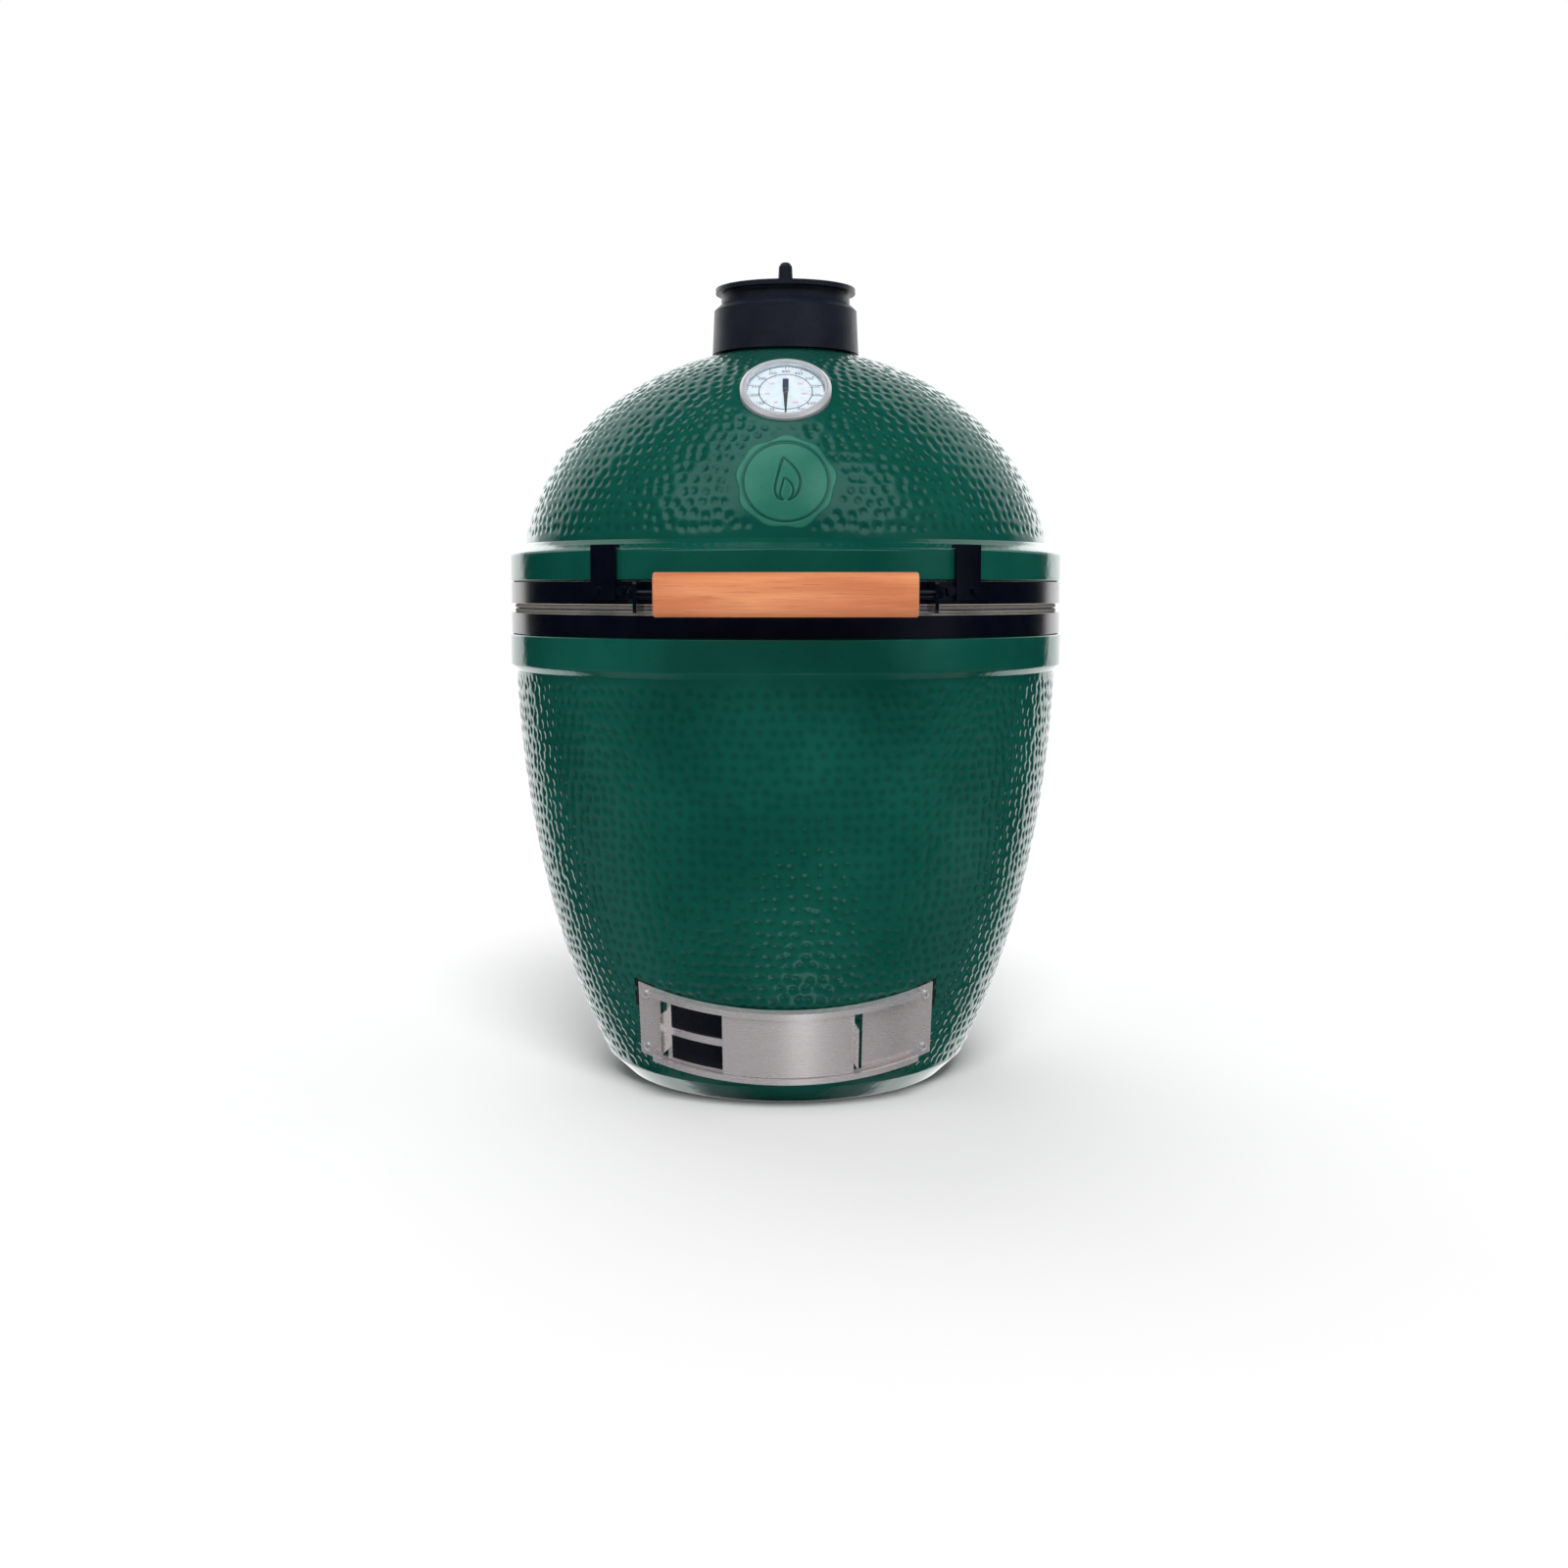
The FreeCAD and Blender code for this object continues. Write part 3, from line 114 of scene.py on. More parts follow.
def mixed(nodes, links, factor, first, second, blend="MIX"):
    """Two colours mixed; each input is a socket or a plain value."""
    mix = nodes.new("ShaderNodeMix")
    mix.data_type, mix.blend_type = "RGBA", blend
    for socket, value in (("Factor", factor), ("A", first), ("B", second)):
        target = [s for s in mix.inputs if s.name == socket and s.enabled][0]
        if isinstance(value, bpy.types.NodeSocket):
            links.new(value, target)
        else:
            target.default_value = value if socket == "Factor" else (*value, 1)
    return [s for s in mix.outputs if s.enabled][0]


def mottled(nodes, links, shader, scale, detail, *stops):
    """Faint clouds between two colours as the base colour; returns how strong they are."""
    haze = clouded(nodes, links, scale, Detail=detail)
    links.new(ramped(nodes, links, haze, stops), shader.inputs["Base Color"])
    return haze


def bumped(nodes, links, shader, *heights):
    """Chains bump nodes on the shader's normal; each height is (socket, distance in metres)."""
    last = None
    for source, distance in heights:
        bump = nodes.new("ShaderNodeBump")
        bump.inputs["Distance"].default_value = distance
        links.new(source, bump.inputs["Height"])
        if last:
            links.new(last, bump.inputs["Normal"])
        last = bump.outputs["Normal"]
    links.new(last, shader.inputs["Normal"])


def settle(shader, **inputs):
    """Sets plain values on a shader's own sockets; underscores stand for spaces."""
    for key, value in inputs.items():
        shader.inputs[key.replace("_", " ")].default_value = value


def linear(red, green, blue):
    """A colour on the 0 to 255 screen scale, as linear light."""
    return tuple(
        c / 12.92 if c <= 0.04045 else ((c + 0.055) / 1.055) ** 2.4
        for c in (red / 255, green / 255, blue / 255)
    )


# ==== materials
def glaze(name, dark, light, deep, roughness, pool=0.4):
    """Deep glossy glaze: it pools darker in the pits and grooves, and ripples slightly. A large pool, as
    on the badge, also paints shade into its grooves.
    """
    made, nodes, links, shader = new_material(name)
    cloud = clouded(nodes, links, 9, Detail=4.0)
    speck = clouded(nodes, links, 260, Detail=3.0)
    base = ramped(nodes, links, cloud, [(0.32, dark), (0.68, light)])
    pooled = nodes.new("ShaderNodeAttribute")
    pooled.attribute_name = "pooled"
    depth = ranged(nodes, links, pooled.outputs["Fac"], 0.0, pool)
    settled = mixed(nodes, links, depth, base, deep)
    flecks = ranged(nodes, links, speck, 0.0, 0.35, 0.62, 0.8)
    links.new(mixed(nodes, links, flecks, settled, deep), shader.inputs["Base Color"])
    links.new(ranged(nodes, links, cloud, roughness, roughness + 0.06),
              shader.inputs["Roughness"])
    ripple = clouded(nodes, links, 110, Detail=2.0)
    bumped(nodes, links, shader, (ripple, 0.0002), (speck, 0.00003))
    settle(shader, IOR=1.5, Specular_Tint=(0.66, 1.0, 0.88, 1))
    return made


def raw_ceramic():
    """Unglazed refractory ceramic: cream, matt, with fine grit, small pores and faint stains."""
    made, nodes, links, shader = new_material("raw_ceramic")
    cloud = clouded(nodes, links, 14, Detail=6.0, Roughness=0.6)
    grit = clouded(nodes, links, 900, Detail=4.0)
    pores = textured(nodes, links, "ShaderNodeTexVoronoi", 380)
    base = ramped(nodes, links, cloud,
                  [(0.3, linear(226, 209, 180)), (0.7, linear(242, 230, 208))])
    grain = ranged(nodes, links, grit, 0.0, 0.35, 0.45, 0.8)
    links.new(mixed(nodes, links, grain, base, linear(196, 174, 140)), shader.inputs["Base Color"])
    pit = ranged(nodes, links, pores.outputs["Distance"], 0.0, 1.0, 0.0, 0.35)
    settle(shader, Roughness=0.88)
    bumped(nodes, links, shader, (grit, 0.0004), (pit, 0.0003))
    return made


def powder_coat():
    """Satin black powder coat on steel, with a fine orange peel."""
    made, nodes, links, shader = new_material("black_steel")
    peel = clouded(nodes, links, 700, Detail=2.0)
    wear = mottled(nodes, links, shader, 40, 5.0,
                   (0.3, (0.0012, 0.0018, 0.0062)), (0.75, (0.0026, 0.0035, 0.0095)))
    links.new(ranged(nodes, links, wear, 0.13, 0.24), shader.inputs["Roughness"])
    bumped(nodes, links, shader, (peel, 0.00003))
    return made


def cast_iron(name, dark, light, rough, rust=0.0):
    """Cast iron: a grainy sand-cast skin, with rust showing through when it is asked for."""
    made, nodes, links, shader = new_material(name)
    skin = clouded(nodes, links, 620, Detail=5.0, Roughness=0.62)
    cloud = clouded(nodes, links, 35, Detail=5.0)
    base = ramped(nodes, links, cloud, [(0.3, dark), (0.72, light)])
    stain = ranged(nodes, links, cloud, 0.0, rust, 0.5, 0.8)
    links.new(mixed(nodes, links, stain, base, linear(112, 66, 42)), shader.inputs["Base Color"])
    links.new(ranged(nodes, links, skin, rough - 0.06, rough + 0.08),
              shader.inputs["Roughness"])
    bumped(nodes, links, shader, (skin, 0.0004), (cloud, 0.0005))
    return made


def brushed(name, colour, rough, stretch, scale=900, metallic=1.0):
    """Steel with fine brush lines along one way; stretch is small along the lines."""
    made, nodes, links, shader = new_material(name)
    lines = clouded(nodes, links, scale, stretch, Detail=4.0, Roughness=0.6)
    cloud = clouded(nodes, links, 22, Detail=4.0)
    dark = tuple(c * 0.93 for c in colour)
    tint = ramped(nodes, links, lines, [(0.3, dark), (0.7, colour)])
    smudge = ranged(nodes, links, cloud, 0.0, 0.25, 0.45, 0.8)
    links.new(mixed(nodes, links, smudge, tint, dark), shader.inputs["Base Color"])
    links.new(ranged(nodes, links, lines, rough - 0.07, rough + 0.1),
              shader.inputs["Roughness"])
    bumped(nodes, links, shader, (lines, 0.00002))
    settle(shader, Metallic=metallic)
    return made


def felt():
    """Light grey heat-proof felt: matted fibres and a soft sheen."""
    made, nodes, links, shader = new_material("grey_felt")
    fibres = clouded(nodes, links, 1500, (1, 1, 2.2), Detail=5.0, Roughness=0.7)
    mats = clouded(nodes, links, 180, Detail=4.0)
    base = ramped(nodes, links, fibres,
                  [(0.3, linear(92, 92, 93)), (0.72, linear(156, 153, 150))])
    worn = ranged(nodes, links, mats, 0.0, 0.5, 0.4, 0.75)
    links.new(mixed(nodes, links, worn, base, linear(112, 108, 106)), shader.inputs["Base Color"])
    settle(shader, Roughness=0.95, Sheen_Weight=0.35, Sheen_Roughness=0.5)
    bumped(nodes, links, shader, (fibres, 0.0007), (mats, 0.0012))
    return made


def wood():
    """Oiled hardwood with its grain along X: long pores, growth bands and a soft polish."""
    made, nodes, links, shader = new_material("handle_wood")
    bands = clouded(nodes, links, 60, (0.07, 1, 1), Detail=5.0, Roughness=0.55)
    pores = clouded(nodes, links, 900, (0.03, 1, 1), Detail=3.0, Roughness=0.6)
    rings = textured(nodes, links, "ShaderNodeTexWave", 34, (0.05, 1, 0.6), (0.5, 0, 0),
                     Distortion=5.0, Detail=3.0, **{"Detail Scale": 1.4})
    base = ramped(nodes, links, bands,
                  [(0.3, linear(190, 106, 64)), (0.72, linear(236, 160, 110))])
    ring = ranged(nodes, links, rings.outputs["Fac"], 0.0, 0.45, 0.25, 1.0)
    banded = mixed(nodes, links, ring, base, linear(186, 102, 60))
    pore = ranged(nodes, links, pores, 0.0, 0.55, 0.56, 0.74)
    links.new(mixed(nodes, links, pore, banded, linear(138, 76, 46)), shader.inputs["Base Color"])
    links.new(ranged(nodes, links, bands, 0.4, 0.52), shader.inputs["Roughness"])
    bumped(nodes, links, shader, (pores, 0.00018), (bands, 0.0003))
    settle(shader, Coat_Weight=0.18, Coat_Roughness=0.3)
    return made


def dial_paint():
    """White enamel with a barely mottled face."""
    made, nodes, links, shader = new_material("dial_white")
    haze = mottled(nodes, links, shader, 120, 3.0,
                   (0.3, linear(170, 181, 190)), (0.7, linear(182, 192, 201)))
    bumped(nodes, links, shader, (haze, 0.00002))
    settle(shader, Roughness=0.42)
    return made


def enamel(name, colour, rough=0.4):
    """A thin coat of paint, slightly uneven."""
    made, nodes, links, shader = new_material(name)
    paler = tuple(min(1, c * 1.18 + 0.002) for c in colour)
    haze = mottled(nodes, links, shader, 300, 3.0, (0.3, colour), (0.75, paler))
    bumped(nodes, links, shader, (haze, 0.00002))
    settle(shader, Roughness=rough)
    return made


def clear_glass():
    """A flat pane that is nearly invisible except for its reflections."""
    made, nodes, links, shader = new_material("clear_glass")
    mottled(nodes, links, shader, 60, 2.0, (0.3, (0.97, 0.985, 0.98)), (0.7, (0.98, 0.99, 0.985)))
    settle(shader, Roughness=0.0, IOR=1.15, Transmission_Weight=1.0)
    return made


def floor_paint():
    """Pale matt paint for the studio floor."""
    made, nodes, links, shader = new_material("pale_floor")
    mottled(nodes, links, shader, 1.5, 2.0, (0.3, (0.86, 0.86, 0.86)), (0.7, (0.88, 0.88, 0.88)))
    settle(shader, Roughness=0.9, Specular_IOR_Level=0.1)
    return made


MATERIALS = {
    "green_glaze": glaze("green_glaze", linear(10, 68, 59), linear(18, 80, 70), linear(5, 50, 44), 0.06),
    "raw_ceramic": raw_ceramic(),
    "black_steel": powder_coat(),
    "black_iron": cast_iron("black_iron", (0.0055, 0.0075, 0.0175), (0.0105, 0.0135, 0.027), 0.42),
    "rusty_iron": cast_iron("rusty_iron", (0.045, 0.042, 0.04), (0.085, 0.08, 0.076), 0.6, 0.5),
    "stainless": brushed("stainless", (0.92, 0.87, 0.88), 0.24, (0.05, 0.05, 1), metallic=0.75),
    "bright_steel": brushed("bright_steel", (0.84, 0.83, 0.84), 0.22, (0.2, 1, 1), metallic=0.7),
    "zinc_steel": brushed("zinc_steel", (0.5, 0.5, 0.49), 0.34, (1, 0.3, 1), 1200),
    "grey_felt": felt(),
    "handle_wood": wood(),
    "dial_white": dial_paint(),
    "bezel_steel": brushed("bezel_steel", (0.80, 0.81, 0.85), 0.35, (1, 1, 1), 1400, 0.6),
    "needle_paint": enamel("needle_paint", (0.012, 0.02, 0.024)),
    "clear_glass": clear_glass(),
}
# Paler glaze for the badge: a painted highlight for its brighter smooth face. Its strong pooling darkens
# the grooves, partly as pooled glaze and partly as painted shade.
BADGE_GLAZE_PAINTED_LIGHT = glaze("badge_glaze_painted_light", linear(36, 100, 84), linear(50, 116, 98), linear(6, 44, 38), 0.12, 0.9)
PRINT_BLACK = enamel("print_black", linear(26, 32, 46), 0.5)
PRINT_RED = enamel("print_red", linear(190, 70, 84), 0.5)
# Near-black paint for the vent seat's cut faces: painted shade for the dark gap behind the vent's doors.
SHADE_PAINT_BLACK = enamel("painted_shade_black", (0.008, 0.010, 0.012), 0.8)
BOLT_BLACK = brushed("bolt_black", (0.3, 0.3, 0.34), 0.2, (1, 1, 1), 1400)
TAIL_TEAL = enamel("tail_teal", linear(6, 34, 52), 0.35)

frame["nodes"]["thermometer_glass"].visible_shadow = False
for node_name, node_object in frame["nodes"].items():
    node_object.data.materials.clear()
    node_object.data.materials.append(MATERIALS[SLOTS[node_name]])


# ==== mesh helpers
def make_object(name, vertices, faces, materials, indices=None, smooth=True, sharp=None):
    """A mesh object from points and faces, with its materials."""
    mesh = bpy.data.meshes.new(name)
    mesh.from_pydata(vertices, [], faces)
    for material in materials:
        mesh.materials.append(material)
    if indices is not None:
        mesh.polygons.foreach_set("material_index", np.asarray(indices, np.int32))
    mesh.polygons.foreach_set("use_smooth", [smooth] * len(mesh.polygons))
    mesh.validate()
    mesh.update()
    if sharp:
        mesh.set_sharp_from_angle(angle=math.radians(sharp))
    made = bpy.data.objects.new(name, mesh)
    SCENE.collection.objects.link(made)
    return made


def from_bmesh(name, work, materials, smooth=True, sharp=None):
    """A mesh object from a bmesh, which it frees."""
    bmesh.ops.recalc_face_normals(work, faces=work.faces)
    mesh = bpy.data.meshes.new(name)
    work.to_mesh(mesh)
    work.free()
    for material in materials:
        mesh.materials.append(material)
    mesh.polygons.foreach_set("use_smooth", [smooth] * len(mesh.polygons))
    if sharp:
        mesh.set_sharp_from_angle(angle=math.radians(sharp))
    made = bpy.data.objects.new(name, mesh)
    SCENE.collection.objects.link(made)
    return made


def solid_from(name, points, faces, materials, sharp):
    """A closed mesh object from points and faces, with its faces turned outward."""
    work = bmesh.new()
    verts = [work.verts.new(p) for p in points]
    for face in faces:
        work.faces.new([verts[i] for i in face])
    return from_bmesh(name, work, materials, sharp=sharp)


def finish_piece(piece, body, slot, *nodes):
    """Attaches a piece to the body that it rides on and hides the CAD nodes that it stands for; slot, its
    finish, is not used.
    """
    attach(piece, body)
    if nodes:
        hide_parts(*nodes)
    return piece


def ring_points(radius, height, columns):
    """Points round the upright axis; the seam is at the rear, and they start there."""
    turns = 2 * math.pi * np.arange(columns) / columns
    return np.stack([radius * np.sin(turns), radius * np.cos(turns), np.full(columns, height)], 1)


def revolve(profile, columns=COLUMNS, closed=True):
    """Points, faces and each face's outline row of a surface turned about Z."""
    points, rings = [], []
    for radius, height in profile:
        start = len(points)
        if radius < 1e-9:
            points.append([0.0, 0.0, height])
            rings.append([start] * columns)
        else:
            points += ring_points(radius, height, columns).tolist()
            rings.append(list(range(start, start + columns)))
    faces, rows = [], []
    for i in range(len(profile) if closed else len(profile) - 1):
        low, high = rings[i], rings[(i + 1) % len(profile)]
        if low[0] == low[1] and high[0] == high[1]:
            continue
        for j in range(columns):
            k = (j + 1) % columns
            corners = [low[j], high[j], high[k], low[k]]
            faces.append(sorted(set(corners), key=corners.index))
            rows.append(i)
    return np.array(points), faces, rows


def cut_with(target, cutter, finish):
    """Takes the cutter out of the target; finish is the number of the target's material on the cut."""
    cutter.data.materials.clear()
    for material in target.data.materials:
        cutter.data.materials.append(material)
    cutter.data.polygons.foreach_set("material_index", [finish] * len(cutter.data.polygons))
    change = target.modifiers.new("cut", "BOOLEAN")
    change.object, change.operation, change.solver = cutter, "DIFFERENCE", "EXACT"
    cut = bpy.data.meshes.new_from_object(target.evaluated_get(bpy.context.evaluated_depsgraph_get()))
    target.modifiers.clear()
    target.data = cut
    bpy.data.objects.remove(cutter)
    cut.polygons.foreach_set("use_smooth", [True] * len(cut.polygons))
    cut.set_sharp_from_angle(angle=math.radians(35))


def along_line(start, end, step):
    """Points from start up to, but not with, end."""
    count = max(1, round(math.dist(start, end) / step))
    return [tuple(s + (e - s) * i / count for s, e in zip(start, end)) for i in range(count)]


def along_oval(half_width, half_height, centre, start, end, step):
    """Points of an upright oval's right side between two heights, evenly spaced, without the last."""
    def radius(height):
        return half_width * math.sqrt(max(0.0, 1 - ((height - centre) / half_height) ** 2))

    fine = [start + (end - start) * i / 400 for i in range(401)]
    lengths = [0.0]
    for low, high in zip(fine, fine[1:]):
        lengths.append(lengths[-1] + math.hypot(radius(high) - radius(low), high - low))
    count = max(1, round(lengths[-1] / step))
    heights = np.interp([lengths[-1] * i / count for i in range(count)], lengths, fine)
    return [(radius(h), float(h)) for h in heights]


def rounded_outline(corners, step):
    """A closed outline. A corner (radius, height, fillet) gets an arc; a list is plain points."""
    flat = []
    for corner in corners:
        if isinstance(corner, list):
            flat += [(r, z, 0.0) for r, z in corner]
        else:
            flat.append(corner)
    smooth = []
    for i, (r, z, fillet) in enumerate(flat):
        here = Vector((r, z))
        if not fillet:
            smooth.append((r, z))
            continue
        back = (Vector(flat[i - 1][:2]) - here).normalized()
        ahead = (Vector(flat[(i + 1) % len(flat)][:2]) - here).normalized()
        half = back.angle(ahead) / 2
        middle = here + (back + ahead).normalized() * fillet / math.sin(half)
        first = here + back * fillet / math.tan(half) - middle
        last = here + ahead * fillet / math.tan(half) - middle
        for j in range(5):
            arm = first.lerp(last, j / 4).normalized() * fillet
            smooth.append(tuple(middle + arm))
    filled = []
    for i, point in enumerate(smooth):
        after = smooth[(i + 1) % len(smooth)]
        if math.dist(point, after) > 1.6 * step and not (point[0] < 1e-6 and after[0] < 1e-6):
            filled += along_line(point, after, step)
        else:
            filled.append(point)
    return filled


# ==== pebbled ceramic shells
PIT_SPACING = 0.0116
PIT_RADIUS = 0.0052
PIT_DEPTH = 0.00110


def pit_centres(profile, low, high, seed):
    """Rows of pit centres over a shell, offset like bricks and slightly strewn."""
    draw = random.Random(seed)
    centres, travelled, row = [], 0.0, 0
    for (r0, z0), (r1, z1) in zip(profile, profile[1:]):
        travelled += math.hypot(r1 - r0, z1 - z0)
        if not low < z1 < high or travelled < PIT_SPACING * 0.94:
            continue
        travelled, row = 0.0, row + 1
        count = round(2 * math.pi * r1 / PIT_SPACING)
        for i in range(count):
            turn = 2 * math.pi * (i + row * 0.5 + draw.uniform(-0.22, 0.22)) / count
            drift = draw.uniform(-0.22, 0.22) * PIT_SPACING
            slope = Vector((r1 - r0, z1 - z0)).normalized() * drift
            radius = r1 + slope.x
            centres.append(Vector((radius * math.sin(turn), radius * math.cos(turn), z1 + slope.y)))
    tree = KDTree(len(centres))
    for i, centre in enumerate(centres):
        tree.insert(centre, i)
    tree.balance()
    return tree


def press_pits(points, profile, rows, low, high, calm, seed):
    """Presses shallow pits into a shell's outside, fading at its edges and where calm says so."""
    outside = [profile[i] for i in rows]
    tree = pit_centres(outside, low, high, seed)
    pooled = np.zeros(len(points))
    normals = {}
    for i in rows:
        (r0, z0), (r1, z1) = profile[i - 1], profile[(i + 1) % len(profile)]
        normals[i] = Vector((z1 - z0, r0 - r1)).normalized()
    starts = np.cumsum([0] + [1 if r < 1e-9 else COLUMNS for r, _ in profile])
    for i in rows:
        height = profile[i][1]
        edge = min(1.0, max(0.0, min(height - low, high - height) / 0.006))
        if edge <= 0:
            continue
        flat = normals[i]
        for j in range(starts[i], starts[i] + COLUMNS):
            point = Vector(points[j])
            _, _, gap = tree.find(point)
            across = Vector((point.x, point.y, 0)).normalized()
            share = max(0.0, 1 - (gap / PIT_RADIUS) ** 2) ** 1.5 * edge * calm(point)
            depth = PIT_DEPTH * share
            pooled[j] = share
            points[j] = point - (across * flat.x + Vector((0, 0, flat.y))) * depth
    return pooled


def shell(name, profile, raw_rows, pit_rows, low, high, calm, seed):
    """A thick ceramic shell with a glazed, pebbled outside and bare rims and inside."""
    points, faces, rows = revolve(profile)
    pooled = press_pits(points, profile, pit_rows, low, high, calm, seed)
    raw = set(raw_rows)
    made = make_object(name, points.tolist(), faces,
                       [MATERIALS["green_glaze"], MATERIALS["raw_ceramic"]],
                       [1 if row in raw else 0 for row in rows], sharp=42)
    made.data.attributes.new("pooled", "FLOAT", "POINT").data.foreach_set("value", pooled)
    return made


def rows_between(profile, first, last):
    """The numbers of the outline's points from the one nearest first to the one nearest last."""
    def nearest(target):
        return min(range(len(profile)), key=lambda i: math.dist(profile[i], target))

    return list(range(nearest(first), nearest(last) + 1))


VENT_MIDDLE = Vector((0, 0.0021, 0.1481))
VENT_TILT = math.radians(22)
DIAL_MIDDLE = Vector((0, -0.182, 0.665))
DIAL_LEAN = math.radians(45.5)
ON_VENT = Matrix.Translation(VENT_MIDDLE) @ Matrix.Rotation(VENT_TILT, 4, "X")
ON_DIAL = Matrix.Translation(DIAL_MIDDLE) @ Matrix.Rotation(DIAL_LEAN, 4, "X")


def vent_point(radius, degrees, up):
    """A point on the draft vent's own drum, from the front towards +X."""
    turn = math.radians(degrees)
    return ON_VENT @ Vector((radius * math.sin(turn), -radius * math.cos(turn), up))


def block(name, low, high):
    """A plain box used as a cutting tool."""
    work = bmesh.new()
    bmesh.ops.create_cube(work, size=1)
    low, high = Vector(low), Vector(high)
    for vertex in work.verts:
        vertex.co = Vector(l + (c + 0.5) * (h - l) for l, h, c in zip(low, high, vertex.co))
    return from_bmesh(name, work, [], smooth=False)


def curved_block(name, inner, outer, first, last, low, high):
    """A cutting tool bent round the draft vent's drum, between two angles and two heights."""
    columns = 48
    points, faces = [], []
    for radius in (inner, outer):
        for up in (low, high):
            for j in range(columns + 1):
                points.append(vent_point(radius, first + (last - first) * j / columns, up))
    wide = columns + 1
    size = 2 * wide
    for j in range(columns):
        faces.append((j, j + 1, j + 1 + wide, j + wide))
        faces.append((size + j, size + j + wide, size + j + 1 + wide, size + j + 1))
    for j in range(columns):
        top = wide + j
        faces.append((j, size + j, size + j + 1, j + 1))
        faces.append((top, top + 1, size + top + 1, size + top))
    faces.append((0, wide, size + wide, size))
    faces.append((columns, size + columns, size + columns + wide, columns + wide))
    return solid_from(name, points, faces, [], 40)


# ==== base and dome
OUTLINE_STEP = 0.0022
# The third material number is the near-black painted shade on the vent seat.
GLAZED, BARE, SHADE_PAINTED_CUT = 0, 1, 2
BASE_RADIUS, BASE_RISE, BASE_MIDDLE = 0.270, 0.581, 0.449
DOME_RADIUS, DOME_RISE, DOME_MIDDLE = 0.262, 0.2253, 0.4955


def no_calm(_):
    """The pits are as deep all over the base."""
    return 1.0


def build_base():
    """The egg's lower half, with its draft opening and the flat seat for the vent."""
    outside = along_oval(BASE_RADIUS, BASE_RISE, BASE_MIDDLE, 0.020, 0.405, OUTLINE_STEP)
    inside = along_oval(0.241, 0.545, BASE_MIDDLE, 0.4485, 0.058, 0.012)
    profile = rounded_outline([
        (0.0, 0.0, 0.0),
        (0.161, 0.0, 0.003),
        outside,
        (0.2692, 0.405, 0.0),
        (0.2755, 0.411, 0.003),
        (0.2755, 0.440, 0.0012),
        (0.2705, 0.441, 0.0),
        (0.2705, 0.4613, 0.0012),
        (0.241, 0.4613, 0.002),
        inside,
        (0.1679, 0.058, 0.01),
        (0.150, 0.030, 0.01),
        (0.0, 0.030, 0.0),
    ], OUTLINE_STEP)
    pit_rows = rows_between(profile, outside[0], outside[-1])
    raw_rows = rows_between(profile, (0.2705, 0.443), (0.0, 0.030))
    base = shell("base_ceramic", profile, raw_rows, pit_rows, 0.016, 0.4035, no_calm, 11)
    base.data.materials.append(SHADE_PAINT_BLACK)
    seat = curved_block("seat_tool", 0.2216, 0.2836, -39.5, 39.5, -0.042, 0.042)
    # The seat's cut faces take the near-black painted shade.
    cut_with(base, seat, SHADE_PAINTED_CUT)
    draft = block("draft_tool", (-0.052, -0.24, 0.042), (0.052, -0.12, 0.092))
    cut_with(base, draft, BARE)
    finish_piece(base, "base", "green_glaze", "base_shell")


MEDALLION_HEIGHT = 0.577
MEDALLION_RADIUS = 0.046


def dome_point(across, height):
    """A point on the dome's smooth outside: across is the distance round from the front."""
    radius = DOME_RADIUS * math.sqrt(max(0.0, 1 - ((height - DOME_MIDDLE) / DOME_RISE) ** 2))
    turn = across / radius
    return Vector((radius * math.sin(turn), -radius * math.cos(turn), height))


def medallion_reach(point):
    """How far a point on the dome's front is from the medallion's middle, in its radii."""
    if point.y > 0:
        return 9.0
    return (point - dome_point(0.0, MEDALLION_HEIGHT)).length / MEDALLION_RADIUS


def dome_calm(point):
    """Pits fade out under the medallion and round the thermometer."""
    near_medallion = min(1.0, max(0.0, (medallion_reach(point) - 1.0) / 0.12))
    away = ON_DIAL.inverted() @ point
    near_dial = min(1.0, max(0.0, (math.hypot(away.x, away.y) - 0.047) / 0.006))
    return near_medallion * near_dial


def build_dome():
    """The egg's lid, with the thermometer's stepped seat cut into its front."""
    outside = along_oval(DOME_RADIUS, DOME_RISE, DOME_MIDDLE, 0.528, 0.7144, OUTLINE_STEP)
    inside = along_oval(0.240, 0.199, DOME_MIDDLE, 0.6908, 0.497, 0.009)
    profile = rounded_outline([
        (0.240, 0.4699, 0.002),
        (0.2705, 0.4699, 0.0012),
        (0.2705, 0.491, 0.0),
        (0.2745, 0.492, 0.0012),
        (0.2745, 0.518, 0.003),
        (0.264, 0.524, 0.0),
        outside,
        (0.062, 0.7144, 0.0),
        (0.062, 0.735, 0.002),
        (0.045, 0.735, 0.002),
        (0.045, 0.6908, 0.0),
        inside,
    ], OUTLINE_STEP)
    pit_rows = rows_between(profile, outside[0], outside[-1])
    raw_rows = rows_between(profile, (0.062, 0.716), inside[-1]) + rows_between(
        profile, (0.240, 0.4699), (0.2705, 0.489))
    dome = shell("dome_ceramic", profile, raw_rows, pit_rows, 0.531, 0.713, dome_calm, 23)
    for radius, depth in ((0.0421, 0.0085), (0.0360, 0.0145), (0.006, 0.07)):
        work = bmesh.new()
        bmesh.ops.create_cone(work, cap_ends=True, segments=96, radius1=radius, radius2=radius,
                              depth=0.08, matrix=ON_DIAL @ Matrix.Translation((0, 0, 0.04 - depth)))
        cut_with(dome, from_bmesh("seat_tool", work, []), GLAZED)
    finish_piece(dome, "dome", "green_glaze", "dome_shell")


